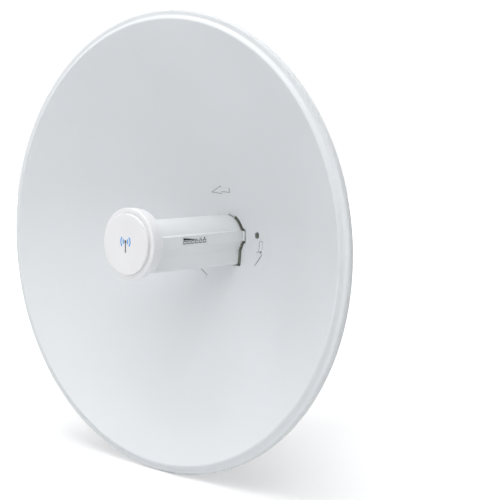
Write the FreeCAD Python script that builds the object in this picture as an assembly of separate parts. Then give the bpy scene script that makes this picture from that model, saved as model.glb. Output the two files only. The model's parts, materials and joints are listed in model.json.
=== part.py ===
"""Outdoor wireless bridge: a dish, the radio feed that plugs into it, and its pole mount.

Millimetres.  The origin is on the pole's axis, level with the axis of the dish.
+Z runs up the pole and the dish faces -Y.  A "depth" is measured forward from the
vertex of the dish along its axis, so a negative depth lies behind the dish.
"""

import FreeCAD, Part
import math
import os

# ---------------------------------------------------------------- driving sizes
# Reflector
DISH_DIAMETER = 520.0
DISH_DEPTH = 115.9          # vertex to the plane of the outer rim
DISH_SHEET = 1.2
RIM_WIDTH = 10.5            # crest corner to outer edge, across the rolled rim
RIM_DROP = 4.2              # crest corner to the forward-facing rim band
RIM_SLOPE_WIDTH = 4.6
RIM_RUN_IN = 2.4            # straight run from the bowl to the crest corner
RIM_SKIRT = 6.0
RIM_ROUND = 2.2             # rounding of each rim corner, on the outside
OPENING_GAP = 3.5           # around the feed, where it passes the reflector
OPENING_BOTTOM_GAP = 1.0
OPENING_TOP_GAP = 1.0
OPENING_TOP_ANGLE = 31.0     # half of the arc on top where the opening hugs the feed
NOTCH_REACH = 5.5            # rail face to the outer side of the opening's notch
NOTCH_ROOM = 2.0             # above and below the rail, in the notch
LOCK_HOLE_RADIUS = 4.0
ARROW_HEIGHT = 0.7
NOTCH_SIZE = 4.4

# Feed tube: round above, a flat rail on each side, a narrower straight box below
TUBE_RADIUS = 24.5
TUBE_DROP = 35.1            # axis to flat underside, at the dish
TUBE_TAPER = 2.5            # how much higher the underside is at the cap
TUBE_WALL = 2.2
TUBE_CORNER = 4.0
RAIL_STEP = 1.5             # rail face beyond the round wall
RAIL_TOP = 6.0
RAIL_BOTTOM = 6.5
RAIL_BEVEL = 1.5
WAIST_STEP = 3.6            # box wall inside the round wall
WAIST_DROP = 16.8
PLUG_LENGTH = 60.0          # the stretch of feed behind the vertex
KEY_HEIGHT = 2.2             # the stop on top of the feed, in front of the dish
KEY_FRONT = 4.5
KEY_HALF_ANGLE = 13.0
SEAL_STAND = 2.9             # how far the seal stands out round the feed
SEAL_PROUD = 1.2             # the seal's front, ahead of the dish
SEAL_PITCH = 4.6             # degrees between its grooves

# Cap on the feed's nose
FEED_REACH = 168.5          # vertex to the face of the raised disc
CAP_RADIUS = 39.8
CAP_TAPER = 0.5
CAP_BACK_TAPER = 1.5
CAP_WALL = 2.0
DISC_RADIUS = 33.6
DISC_RISE = 3.8
CAP_SHELL_LENGTH = 9.4      # cap face to the seam
CAP_BASE_LENGTH = 7.8       # seam to the back of the drum
CAP_ROUND = 1.6
EMBLEM_SIZE = 8.0           # radius of the outer arcs
EMBLEM_STROKE = 1.5
EMBLEM_LIFT = 2.8           # centre of the arcs above the axis
EMBLEM_DEPTH = 0.6
EMBLEM_PROUD = 0.1

# Radio inside the feed
GUIDE_RADIUS = 19.6
GUIDE_WALL = 1.0
GUIDE_TAIL = 22.0           # depth behind the vertex of the closed end
BOARD_THICKNESS = 1.6
BOARD_CLEARANCE = 0.7
JACK_WIDTH = 16.0
JACK_HEIGHT = 13.4
JACK_LENGTH = 21.3
PORT_WIDTH = 11.8
PORT_HEIGHT = 6.8
LED_COUNT = 6
LED_PITCH = 6.5
LED_SETBACK = 5.1            # front end of the panel to the first light
PANEL_SETBACK = 44.6         # front end of the tube to the panel
PANEL_LENGTH = 43.0
LED_SIZE = 2.2
LED_Z = -1.3
PANEL_THICKNESS = 0.8
PANEL_MARGIN = 0.9
SCREW_RADIUS = 1.25
POST_RADIUS = 3.0
PLUG_DEPTH = 1.5            # how far the end cap reaches into the tube
RESET_RADIUS = 1.6
RESET_TRAVEL = 0.8

# Hub behind the dish
HUB_LENGTH = 76.0
HUB_WALL = 3.0
FLANGE_THICKNESS = 4.0
COLLAR_INNER = 3.3          # beyond the feed's outline
COLLAR_WALL = 1.8
COLLAR_LENGTH = 28.0
RIB_REACH = 2.2
RIB_WIDTH = 1.0
LATCH_SPACE = 12.3          # between the sleeve and the hub's flat side
DETENT_OFFSET = 25.4        # rail face to the axis of the detent pin
DETENT_Z = 2.0
DETENT_RADIUS = 3.6
DETENT_NOSE = 2.6
DETENT_BACK = -20.0
DETENT_GAP = 6.0            # room for the spring
LUG_REACH = 7.0
LUG_THICKNESS = 3.0
LOCK_SHEET = 2.0
LATCH_HALF_HEIGHT = 7.4
LATCH_PIN_RADIUS = 1.5
LATCH_FRONT = -0.2 - DISH_SHEET
LATCH_NOSE = 1.5             # the part of the latch that shows in the notch
LATCH_SWING = 2.6            # room in the notch for the latch to open
LATCH_PIN_DEPTH = -15.0
LATCH_BACK = -33.0
PADDLE_STAND = 2.6          # how far the paddle stands out of the hub
LATCH_SPRING_LENGTH = 4.0
HOOK_ANGLES = (90.0, 210.0, 330.0)
CABLE_RADIUS = 4.0          # bore of the cable grommet
PORT_RADIUS = 12.0

# Pole mount
POLE_RADIUS = 25.4
BRACKET_SHEET = 3.0
SADDLE_DEPTH = 7.6          # pole surface to the web it is clamped against
SADDLE_TIP = 8.0            # how far short of the pole's centre plane a saddle ends
SADDLE_PLATE = 6.0
SADDLE_SPREAD = 66.0        # outer faces of the two saddle plates
SWING_ROOM = 26.0           # hub to bracket web, for the tilt
EAR_NOSE = 16.0
TILT_LIMIT = 20.0           # degrees each way
LOCK_ARM = 30.0             # tilt pivot to the locking bolt
LOCK_BOLT_RADIUS = 3.0
EAR_BOTTOM = 30.0
BOLT_RADIUS = 4.0
BOLT_OFFSET = 12.0          # pole surface to the clamp bolts
CLAMP_TRAVEL_OUT = 6.2
BOLT_TAIL = 16.0
BOLT_HEAD_RADIUS = 7.95

# Clearances
FREE_GAP = 0.3              # between pieces that move past each other
FIT_GAP = 0.1               # between pieces of one assembly
PIN_GAP = 0.08              # running fit, on the radius
THREAD_GAP = 0.02           # bolts screwed into the hub, on the radius

# ---------------------------------------------------------------- derived sizes
DISH_RADIUS = DISH_DIAMETER / 2
CREST_RADIUS = DISH_RADIUS - RIM_WIDTH
STANDOFF = HUB_LENGTH + SWING_ROOM + BRACKET_SHEET + SADDLE_DEPTH
VERTEX_Y = -(POLE_RADIUS + STANDOFF)
RAIL_X = TUBE_RADIUS + RAIL_STEP
WAIST_X = TUBE_RADIUS - WAIST_STEP
CAP_FACE = FEED_REACH - DISC_RISE
SEAM = CAP_FACE - CAP_SHELL_LENGTH
CAP_BACK = SEAM - CAP_BASE_LENGTH
SEAM_RADIUS = CAP_RADIUS - CAP_TAPER
TUBE_FRONT = CAP_BACK + CAP_BASE_LENGTH / 2
TUBE_BACK = -PLUG_LENGTH
SLEEVE_INNER = COLLAR_INNER + COLLAR_WALL + FREE_GAP
SLEEVE_OUTER = SLEEVE_INNER + TUBE_WALL
SLEEVE_CORNER = math.hypot(WAIST_X + SLEEVE_OUTER, TUBE_DROP + SLEEVE_OUTER)
HUB_FLAT = max(
    RAIL_X + SLEEVE_OUTER + LATCH_SPACE,
    POLE_RADIUS + BOLT_OFFSET + BOLT_HEAD_RADIUS + FREE_GAP,
)
DETENT_X = RAIL_X + DETENT_OFFSET
HUB_RADIUS = max(
    DETENT_X + DETENT_RADIUS + HUB_WALL + 1.0,
    SLEEVE_CORNER + HUB_WALL + 2.0,
    HUB_FLAT + 10.0,
)
HUB_BACK = -HUB_LENGTH
COVER_FRONT = HUB_BACK + HUB_WALL
PIVOT_DEPTH = HUB_BACK + 22.0
LOCK_REACH = LOCK_ARM + LOCK_BOLT_RADIUS + 5.0
EAR_SPREAD = TILT_LIMIT + 14.0
FLATS_DEPTH = PIVOT_DEPTH + LOCK_REACH * math.sin(math.radians(EAR_SPREAD + TILT_LIMIT)) + 1.5
GUIDE_MOUTH = SEAM - 0.6
BOARD_TOP = -(TUBE_DROP - TUBE_WALL) + 7.7
BOARD_UNDERSIDE = BOARD_TOP - BOARD_THICKNESS
BOARD_HALF_WIDTH = WAIST_X - TUBE_WALL - BOARD_CLEARANCE
JACK_MOUTH = TUBE_BACK - 1.0
JACK_FRONT = JACK_MOUTH + JACK_LENGTH
RESET_X = JACK_WIDTH / 2 + 5.0
RESET_Z = BOARD_TOP + 5.5
EAR_INNER = HUB_FLAT + FREE_GAP
EAR_OUTER = EAR_INNER + BRACKET_SHEET
BOLT_X = POLE_RADIUS + BOLT_OFFSET
WEB_BACK = -(POLE_RADIUS + SADDLE_DEPTH)

ORIGIN = FreeCAD.Vector(0, 0, 0)
X = FreeCAD.Vector(1, 0, 0)
Y = FreeCAD.Vector(0, 1, 0)
Z = FreeCAD.Vector(0, 0, 1)


# ---------------------------------------------------------------- helpers
def at(x, depth, z):
    """The point at a depth in front of the vertex."""
    return FreeCAD.Vector(x, VERTEX_Y - depth, z)


def at_profile(corner):
    """The point of a (radius, depth) pair in the plane of revolution."""
    return at(corner[0], corner[1], 0)


def box(x_low, x_high, deep, shallow, z_low, z_high):
    """A box from the depth `deep`, the rearmost, to the depth `shallow`, the foremost."""
    corner = at(x_low, shallow, z_low)
    return Part.makeBox(x_high - x_low, shallow - deep, z_high - z_low, corner)


def rod(radius, deep, shallow, x=0.0, z=0.0):
    """A cylinder along Y between two depths."""
    return Part.makeCylinder(radius, shallow - deep, at(x, shallow, z), Y)


def tube(outer, inner, deep, shallow, x=0.0, z=0.0):
    """A round tube along Y between two depths."""
    return rod(outer, deep, shallow, x, z).cut(rod(inner, deep - 1, shallow + 1, x, z))


def cross_rod(radius, x_low, x_high, depth, z):
    """A cylinder along X."""
    return Part.makeCylinder(radius, x_high - x_low, at(x_low, depth, z), X)


def turned(corners):
    """A solid of revolution about the dish's axis from (radius, depth) corners."""
    points = [at(radius, depth, 0) for radius, depth in corners]
    face = Part.Face(Part.makePolygon(points + points[:1]))
    return face.revolve(ORIGIN, Y, 360)


def fused(shapes):
    """One solid from several that touch or overlap."""
    first = shapes[0]
    return first.multiFuse(shapes[1:]).removeSplitter()


def mirrored(shape):
    """The same shape on the other side of the middle plane."""
    return shape.mirror(ORIGIN, X)


def both_sides(shape):
    """A shape and its mirror image, as one group."""
    return Part.makeCompound([shape, mirrored(shape)])


def save(node, shape):
    """Write one node's solids."""
    shape.exportStep(os.path.join("parts", node + ".step"))


# ---------------------------------------------------------------- reflector
def crest_depth():
    """Depth of the crest corner, which stands forward of the outer rim."""
    return DISH_DEPTH + RIM_DROP + RIM_ROUND


def focal_length():
    """Focal length of the bowl that reaches the crest corner's run-in."""
    return CREST_RADIUS ** 2 / (4 * crest_depth())


def bowl(radius):
    """Depth of the reflecting face at a radius."""
    return radius ** 2 / (4 * focal_length())


def bowl_back(radius, gap=0.0):
    """Depth of a surface that lies `gap` behind the back of the sheet."""
    slope = radius / (2 * focal_length())
    return bowl(radius) - (DISH_SHEET + gap) * math.hypot(1, slope)


def rim_corners():
    """Corners of the rim's outer face, as (radius, depth), from the bowl outwards."""
    slope = (CREST_RADIUS - RIM_RUN_IN) / (2 * focal_length())
    start = CREST_RADIUS - RIM_RUN_IN
    crest = bowl(start) + RIM_RUN_IN * slope
    return [
        (start, bowl(start)),
        (CREST_RADIUS, crest),
        (CREST_RADIUS + RIM_SLOPE_WIDTH, crest - RIM_DROP),
        (DISH_RADIUS, crest - RIM_DROP),
        (DISH_RADIUS, crest - RIM_DROP - RIM_SKIRT),
    ]


def unit(start, end):
    """Unit step from one 2D point to another."""
    length = math.hypot(end[0] - start[0], end[1] - start[1])
    return ((end[0] - start[0]) / length, (end[1] - start[1]) / length)


def inset(corners, distance):
    """The corners of a chain moved sideways by a distance, to the sheet's other face."""
    steps = [unit(a, b) for a, b in zip(corners, corners[1:])]
    normals = [(dy, -dx) for dx, dy in steps]
    moved = [(corners[0][0] + distance * normals[0][0], corners[0][1] + distance * normals[0][1])]
    for corner, before, after in zip(corners[1:-1], normals, normals[1:]):
        share = distance / (1 + before[0] * after[0] + before[1] * after[1])
        moved.append((corner[0] + share * (before[0] + after[0]),
                      corner[1] + share * (before[1] + after[1])))
    last = normals[-1]
    moved.append((corners[-1][0] + distance * last[0], corners[-1][1] + distance * last[1]))
    return moved


def rounded_edges(corners, radii):
    """Edges of a chain of corners with tangent arcs, each turned to its own radius."""
    edges = []
    here = corners[0]
    for before, corner, after, radius in zip(corners, corners[1:], corners[2:], radii):
        arriving = unit(before, corner)
        leaving = unit(corner, after)
        turn = math.acos(arriving[0] * leaving[0] + arriving[1] * leaving[1])
        trim = radius * math.tan(turn / 2)
        begin = (corner[0] - trim * arriving[0], corner[1] - trim * arriving[1])
        end = (corner[0] + trim * leaving[0], corner[1] + trim * leaving[1])
        inward = unit(ORIGIN, (leaving[0] - arriving[0], leaving[1] - arriving[1]))
        reach = radius / math.cos(turn / 2) - radius
        middle = (corner[0] + reach * inward[0], corner[1] + reach * inward[1])
        edges.append(Part.LineSegment(at_profile(here), at_profile(begin)).toShape())
        edges.append(Part.Arc(at_profile(begin), at_profile(middle), at_profile(end)).toShape())
        here = end
    edges.append(Part.LineSegment(at_profile(here), at_profile(corners[-1])).toShape())
    return edges


def bowl_curve(start, end, offset):
    """A smooth curve along the bowl, `offset` behind its face, between two radii."""
    count = 15
    points = []
    for step in range(count + 1):
        radius = start + (end - start) * step / count
        slope = radius / (2 * focal_length())
        across = offset / math.hypot(1, slope)
        points.append(at(radius + across * slope, bowl(radius) - across, 0))
    curve = Part.BSplineCurve()
    curve.interpolate(points)
    return curve.toShape()


def reflector_sheet():
    """The bowl and its rolled rim, as one sheet without its openings."""
    inner = 8.0
    front = rim_corners()
    back = inset(front, DISH_SHEET)
    front_radii = [RIM_ROUND, RIM_ROUND, RIM_ROUND]
    back_radii = [RIM_ROUND - DISH_SHEET, RIM_ROUND + DISH_SHEET, RIM_ROUND - DISH_SHEET]
    edges = [bowl_curve(inner, front[0][0], 0.0)]
    edges += rounded_edges(front, front_radii)
    edges.append(Part.LineSegment(at_profile(front[-1]), at_profile(back[-1])).toShape())
    edges += rounded_edges(back, back_radii)
    edges.append(bowl_curve(inner, front[0][0], DISH_SHEET))
    first = edges[0].Vertexes[0].Point
    last = edges[-1].Vertexes[0].Point
    edges.append(Part.LineSegment(first, last).toShape())
    wire = Part.Wire(Part.__sortEdges__(edges))
    return Part.Face(wire).revolve(ORIGIN, Y, 360)


# ---------------------------------------------------------------- the feed's outline
def feed_face(grow=0.0):
    """The feed's cross-section at the dish, in the plane of the vertex, grown all round."""
    bevel_z = RAIL_TOP + RAIL_BEVEL
    bevel_x = math.sqrt(TUBE_RADIUS ** 2 - bevel_z ** 2)
    right = [
        (bevel_x, bevel_z),
        (RAIL_X, RAIL_TOP),
        (RAIL_X, -RAIL_BOTTOM),
        (WAIST_X, -WAIST_DROP),
        (WAIST_X, -TUBE_DROP),
    ]
    left = [(-x, z) for x, z in reversed(right)]
    points = [at(x, 0, z) for x, z in right + left]
    edges = [Part.makeLine(a, b) for a, b in zip(points, points[1:])]
    edges.append(Part.Arc(points[-1], at(0, 0, TUBE_RADIUS), points[0]).toShape())
    face = Part.Face(Part.Wire(edges))
    if grow:
        face = face.makeOffset2D(grow, 2)
    return face


def feed_prism(grow, deep, shallow):
    """The feed's outline, grown all round, between two depths."""
    face = feed_face(grow)
    face.translate(FreeCAD.Vector(0, -deep, 0))
    return face.extrude(FreeCAD.Vector(0, deep - shallow, 0))


def under_taper(lift):
    """The wedge to cut away so that the underside rises towards the cap."""
    low = -TUBE_DROP - 1.0 + lift
    corners = [
        at(0, 0, -TUBE_DROP + lift),
        at(0, CAP_BACK, -TUBE_DROP + TUBE_TAPER + lift),
        at(0, TUBE_FRONT + 1, -TUBE_DROP + TUBE_TAPER + lift),
        at(0, TUBE_FRONT + 1, low),
        at(0, 0, low),
    ]
    face = Part.Face(Part.makePolygon(corners + corners[:1]))
    face.translate(FreeCAD.Vector(-TUBE_RADIUS, 0, 0))
    return face.extrude(FreeCAD.Vector(2 * TUBE_RADIUS, 0, 0))


def edges_near(shape, x, z):
    """Edges that run along the feed near a given x and z, for rounding."""
    found = []
    for edge in shape.Edges:
        ends = [vertex.Point for vertex in edge.Vertexes]
        if len(ends) < 2:
            continue
        along = abs(ends[0].y - ends[1].y)
        near = all(abs(p.x - x) < 0.5 and abs(p.z - z) < TUBE_TAPER + 0.5 for p in ends)
        if near and along > 1.0:
            found.append(edge)
    return found


def feed_body(shrink):
    """The solid shape of the feed from its front to its back, tapered underneath."""
    body = feed_prism(-shrink, TUBE_BACK, TUBE_FRONT)
    body = body.cut(under_taper(shrink))
    if shrink:
        return body
    corners = edges_near(body, WAIST_X, -TUBE_DROP) + edges_near(body, -WAIST_X, -TUBE_DROP)
    return body.makeFillet(TUBE_CORNER, corners)


# ---------------------------------------------------------------- openings in the dish
def feed_opening():
    """The hole in the dish that the feed passes through, with a notch at each rail."""
    deep = -6.0
    shallow = 12.0
    hole = feed_prism(OPENING_GAP, deep, shallow)
    top = wedge(90.0, OPENING_TOP_ANGLE, deep - 1, shallow + 1)
    hole = hole.cut(top.cut(rod(TUBE_RADIUS + OPENING_TOP_GAP, deep - 2, shallow + 2)))
    floor = -(TUBE_DROP + OPENING_BOTTOM_GAP)
    hole = hole.cut(box(-60, 60, deep - 1, shallow + 1, floor - 10, floor))
    reach = RAIL_X + NOTCH_REACH
    low, high = -RAIL_BOTTOM - NOTCH_ROOM, RAIL_TOP + NOTCH_ROOM
    notch = box(-reach, reach, deep, shallow, low, high)
    return hole.fuse(notch)


def arrow_outline(centre_angle, sense, radius):
    """A bent arrow round the dish's axis; sense is 1 where it points anticlockwise."""
    shaft = 2.8
    head = 5.0
    start, neck, tip = -15.0, -1.0, 15.5

    def polar(distance, degrees):
        angle = math.radians(centre_angle + sense * degrees)
        return at(distance * math.cos(angle), 0, distance * math.sin(angle))

    middle = (start + neck) / 2
    outer = Part.Arc(polar(radius + shaft, start), polar(radius + shaft, middle),
                     polar(radius + shaft, neck)).toShape()
    inner = Part.Arc(polar(radius - shaft, neck), polar(radius - shaft, middle),
                     polar(radius - shaft, start)).toShape()
    barb_out = polar(radius + head, neck)
    barb_in = polar(radius - head, neck)
    point = polar(radius, tip)
    edges = [
        outer,
        Part.makeLine(polar(radius + shaft, neck), barb_out),
        Part.makeLine(barb_out, point),
        Part.makeLine(point, barb_in),
        Part.makeLine(barb_in, polar(radius - shaft, neck)),
        inner,
        Part.makeLine(polar(radius - shaft, start), polar(radius + shaft, start)),
    ]
    return Part.Face(Part.Wire(edges)).extrude(FreeCAD.Vector(0, -20, 0))


def bowl_layer(outer, low, high):
    """The space between two surfaces parallel to the bowl, `low` and `high` in front of it."""
    count = 10
    radii = [outer * step / count for step in range(count + 1)]
    under = [(radius, bowl(radius) + low) for radius in radii]
    over = [(radius, bowl(radius) + high) for radius in reversed(radii)]
    return turned(under + over)


def stop_notch():
    """The small three-cornered hole that shows when the dish is locked on its hub."""
    radius = HUB_RADIUS + 2.3
    angle = math.radians(-16.5)
    corners = []
    for turn in (20.0, 140.0, 260.0):
        around = math.radians(turn)
        x = radius * math.cos(angle) + NOTCH_SIZE * 0.6 * math.cos(around)
        z = radius * math.sin(angle) + NOTCH_SIZE * 0.6 * math.sin(around)
        corners.append(at(x, -6, z))
    face = Part.Face(Part.makePolygon(corners + corners[:1]))
    return face.extrude(FreeCAD.Vector(0, -24, 0))


def dish_reflector():
    """The painted sheet reflector, with embossed turning arrows round its opening."""
    sheet = reflector_sheet()
    arrows = [
        arrow_outline(-19.0, -1, DETENT_X + 8.8),
        arrow_outline(95.0, 1, DETENT_X + 3.6),
        arrow_outline(-133.0, -1, DETENT_X + 7.6),
    ]
    layer = bowl_layer(DETENT_X + 16.0, -DISH_SHEET / 2, ARROW_HEIGHT)
    embossed = layer.common(Part.makeCompound(arrows))
    dish = fused([sheet] + embossed.Solids)
    dish = dish.cut(feed_opening())
    dish = dish.cut(rod(LOCK_HOLE_RADIUS, -6, 20, DETENT_X, DETENT_Z))
    dish = dish.cut(stop_notch())
    save("dish_reflector", dish)


def dish_lock_ring():
    """The ring welded behind the dish, whose hooks turn in behind the hub's lugs."""
    hook_in = HUB_RADIUS + 1.0
    wall_in = HUB_RADIUS + LUG_REACH + 1.0
    wall_out = wall_in + LOCK_SHEET
    flange_out = wall_out + 8.0
    back = lug_span()[0] - FREE_GAP - LOCK_SHEET
    flange = turned([
        (wall_in, bowl_back(wall_in, FIT_GAP)),
        (flange_out, bowl_back(flange_out, FIT_GAP)),
        (flange_out, bowl_back(flange_out, FIT_GAP) - LOCK_SHEET),
        (wall_out, bowl_back(wall_out, FIT_GAP) - LOCK_SHEET),
        (wall_out, back),
        (wall_in, back),
    ])
    plate = tube(wall_in + 0.5, hook_in, back, back + LOCK_SHEET)
    hooks = [plate.common(wedge(angle, 15.0, back - 1, back + 5)) for angle in HOOK_ANGLES]
    save("dish_lock_ring", fused([flange] + hooks))


def lug_span():
    """Rearmost and foremost depth of the hub's lugs."""
    front = bowl_back(HUB_RADIUS, FREE_GAP) - 2.0
    return front - LUG_THICKNESS, front


def wedge(angle, half_width, deep, shallow):
    """A pie slice about the dish's axis, for cutting rings into lugs."""
    reach = 2 * HUB_RADIUS
    low = math.radians(angle - half_width)
    high = math.radians(angle + half_width)
    corners = [
        at(0, deep, 0),
        at(reach * math.cos(low), deep, reach * math.sin(low)),
        at(reach * math.cos(high), deep, reach * math.sin(high)),
    ]
    face = Part.Face(Part.makePolygon(corners + corners[:1]))
    return face.extrude(FreeCAD.Vector(0, deep - shallow, 0))


# ---------------------------------------------------------------- feed
def feed_tube():
    """The moulded feed tube, with board posts inside and a pocket for the status panel."""
    outer = feed_body(0.0)
    hollow = feed_prism(-TUBE_WALL, TUBE_BACK - 1, TUBE_FRONT - TUBE_WALL)
    hollow = hollow.cut(under_taper(TUBE_WALL))
    shell = outer.cut(hollow)
    shell = shell.cut(rod(GUIDE_RADIUS + FIT_GAP, TUBE_FRONT - 5, TUBE_FRONT + 1))
    shell = shell.cut(status_pocket())
    pieces = [shell, feed_key()] + [board_post(x, depth) for x, depth in board_post_places()]
    tube_body = fused(pieces)
    for x, depth in board_post_places():
        hole = Part.makeCylinder(SCREW_RADIUS, 6, at(x, depth, BOARD_UNDERSIDE - 5.0), Z)
        tube_body = tube_body.cut(hole)
    for x, z in end_screw_places():
        tube_body = tube_body.fuse(end_boss(x, z))
    tube_body = tube_body.removeSplitter()
    for x, z in end_screw_places():
        tube_body = tube_body.cut(rod(SCREW_RADIUS, TUBE_BACK - 1, TUBE_BACK + 9, x, z))
    save("feed_tube", tube_body)


def feed_key():
    """The stop on top of the feed, which comes to rest in front of the dish."""
    outer = TUBE_RADIUS + KEY_HEIGHT
    deep = bowl(outer) + FREE_GAP
    ring = tube(outer, TUBE_RADIUS - 1, deep, KEY_FRONT)
    return ring.common(wedge(90.0, KEY_HALF_ANGLE, deep - 1, KEY_FRONT + 1))


def feed_seal():
    """The two grooved strips of seal that close the dish's opening beside the feed."""
    floor = bowl(TUBE_RADIUS) - 0.7
    seal = feed_prism(SEAL_STAND, -2, 12)
    seal = seal.common(bowl_layer(HUB_RADIUS, -DISH_SHEET, SEAL_PROUD))
    seal = seal.cut(feed_body(0.0))
    seal = seal.cut(wedge(90.0, OPENING_TOP_ANGLE + 0.7, -4, 14))
    wide = 2 * TUBE_RADIUS
    seal = seal.cut(box(-wide, wide, -4, 14, -2 * TUBE_DROP, -TUBE_DROP + 1.0))
    seal = seal.cut(box(0, wide, -4, 14, -RAIL_BOTTOM - NOTCH_ROOM, RAIL_TOP + NOTCH_ROOM))
    seal = seal.cut(box(-wide, 0, -4, 14, -2 * wide, 2 * wide))
    grooves = []
    for index in range(9):
        groove = box(TUBE_RADIUS - 2, TUBE_RADIUS + SEAL_STAND + 2, floor, 6, -0.5, 0.5)
        groove.rotate(at(0, 0, 0), Y, -20.5 - SEAL_PITCH * index)
        grooves.append(groove)
    for share in (0.3, 0.6, 0.9):
        grooves.append(lean_rib(share, -1.0, SEAL_STAND + 2, floor + 0.2, 6, 1.1))
    seal = seal.cut(Part.makeCompound(grooves))
    save("feed_seal", both_sides(seal))


def lean_rib(share, inner, outer, deep, shallow, width):
    """A bar that stands square on the feed's leaning side, part of the way down it."""
    lean = math.atan2(WAIST_DROP - RAIL_BOTTOM, RAIL_X - WAIST_X)
    bar = box(inner, outer, deep, shallow, -width / 2, width / 2)
    bar.rotate(at(0, 0, 0), Y, 90 - math.degrees(lean))
    x = RAIL_X + (WAIST_X - RAIL_X) * share
    z = -RAIL_BOTTOM - (WAIST_DROP - RAIL_BOTTOM) * share
    bar.translate(FreeCAD.Vector(x, 0, z))
    return bar


def board_post_places():
    """Where the radio board is screwed down: x and depth."""
    side = BOARD_HALF_WIDTH - POST_RADIUS - 1.0
    front = TUBE_FRONT - 22.0
    back = -GUIDE_TAIL + 2.0
    return [(side, front), (-side, front), (side, back), (-side, back)]


def board_post(x, depth):
    """A post from the tube's floor to the board's underside."""
    low = -TUBE_DROP + TUBE_WALL / 2
    if depth > 0:
        low += TUBE_TAPER * depth / CAP_BACK
    height = BOARD_UNDERSIDE - low
    return Part.makeCylinder(POST_RADIUS, height, at(x, depth, low), Z)


def end_screw_places():
    """Where the end cap is screwed to the tube: x and z."""
    side = TUBE_RADIUS - TUBE_WALL - 4.6
    return [(side, TUBE_RADIUS / 4), (-side, TUBE_RADIUS / 4)]


def end_boss(x, z):
    """A boss on the tube's inner wall for one end-cap screw."""
    deep, shallow = TUBE_BACK + PLUG_DEPTH + FIT_GAP, TUBE_BACK + 12
    boss = rod(3.0, deep, shallow, x, z)
    wall = math.copysign(TUBE_RADIUS - TUBE_WALL / 2, x)
    web = box(min(x, wall), max(x, wall), deep, shallow, z - 1.5, z + 1.5)
    return boss.fuse(web)


def status_span():
    """Rearmost and foremost depth of the status panel on the rail."""
    shallow = TUBE_FRONT - PANEL_SETBACK
    return shallow - PANEL_LENGTH, shallow


def status_pocket():
    """The shallow pocket in the right rail, with a hole for each light pipe."""
    deep, shallow = status_span()
    pocket = box(RAIL_X - PANEL_THICKNESS, RAIL_X + 1, deep, shallow,
                 -RAIL_BOTTOM + PANEL_MARGIN, RAIL_TOP - PANEL_MARGIN)
    holes = [led_peg(place, LED_SIZE / 2 + FIT_GAP, RAIL_X - 6, RAIL_X) for place in led_depths()]
    return pocket.multiFuse(holes)


def led_depths():
    """Depth of each status light along the rail."""
    first = status_span()[1] - LED_SETBACK
    return [first - LED_PITCH * index for index in range(LED_COUNT)]


def led_peg(depth, half, x_low, x_high):
    """A square peg through the rail at one status light."""
    return box(x_low, x_high, depth - half, depth + half, LED_Z - half, LED_Z + half)


def status_panel():
    """The thin insert that carries the printed scale and the light windows."""
    deep, shallow = status_span()
    panel = box(RAIL_X - PANEL_THICKNESS, RAIL_X, deep + FIT_GAP, shallow - FIT_GAP,
                -RAIL_BOTTOM + PANEL_MARGIN + FIT_GAP, RAIL_TOP - PANEL_MARGIN - FIT_GAP)
    holes = [led_peg(place, LED_SIZE / 2 + FIT_GAP, RAIL_X - 3, RAIL_X + 1)
             for place in led_depths()]
    save("status_panel", panel.cut(Part.makeCompound(holes)))


def light_pipes():
    """One clear moulding: a bar inside the rail with a peg for each light."""
    half = LED_SIZE / 2
    inner = RAIL_X - TUBE_WALL - FIT_GAP
    pegs = [led_peg(place, half, inner - 0.2, RAIL_X + 0.1) for place in led_depths()]
    deep, shallow = led_depths()[-1] - 3, led_depths()[0] + 3
    bar = box(inner - 1.0, inner, deep, shallow, LED_Z - 2.4, LED_Z + 2.4)
    save("light_pipes", fused([bar] + pegs))


def led_board():
    """The strip board behind the light pipes, with its lights."""
    outer = RAIL_X - TUBE_WALL - FIT_GAP - 1.0 - FIT_GAP
    deep, shallow = led_depths()[-1] - 5, led_depths()[0] + 5
    board = box(outer - 1.5, outer - 0.7, deep, shallow, -RAIL_BOTTOM + 1.0, RAIL_TOP - 1.0)
    lights = [led_peg(place, 0.9, outer - 0.8, outer) for place in led_depths()]
    save("led_board", fused([board] + lights))


def end_cap():
    """The feed's rear closure, with openings for the jack and the reset button."""
    plate = feed_prism(0.0, TUBE_BACK - 2.5, TUBE_BACK)
    plug = feed_prism(-TUBE_WALL - FIT_GAP, TUBE_BACK, TUBE_BACK + PLUG_DEPTH)
    cap = plate.fuse(plug).removeSplitter()
    half = JACK_WIDTH / 2 + FIT_GAP
    low = BOARD_TOP - FIT_GAP
    top = BOARD_TOP + JACK_HEIGHT + FIT_GAP
    cap = cap.cut(box(-half, half, TUBE_BACK - 5, TUBE_BACK + 5, low, top))
    cap = cap.cut(rod(RESET_RADIUS + PIN_GAP, TUBE_BACK - 5, TUBE_BACK + 5, RESET_X, RESET_Z))
    for x, z in end_screw_places():
        cap = cap.cut(rod(SCREW_RADIUS + FIT_GAP, TUBE_BACK - 5, TUBE_BACK + 5, x, z))
    save("feed_end_cap", cap)


def end_cap_screws():
    """Screws that hold the end cap to the tube."""
    screws = []
    for x, z in end_screw_places():
        shank = rod(SCREW_RADIUS - 0.05, TUBE_BACK - 3, TUBE_BACK + 7, x, z)
        head = rod(2.4, TUBE_BACK - 4.3, TUBE_BACK - 2.5, x, z)
        slot = box(x - 1.8, x + 1.8, TUBE_BACK - 5, TUBE_BACK - 3.6, z - 0.4, z + 0.4)
        screws.append(shank.fuse(head).removeSplitter().cut(slot))
    save("end_cap_screws", Part.makeCompound(screws))


def reset_button():
    """The recessed plunger beside the jack."""
    button = rod(RESET_RADIUS, TUBE_BACK - 3.1, TUBE_BACK + 2.6, RESET_X, RESET_Z)
    collar = rod(RESET_RADIUS + 0.9, TUBE_BACK + 1.6, TUBE_BACK + 2.6, RESET_X, RESET_Z)
    save("reset_button", button.fuse(collar).removeSplitter())


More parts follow.
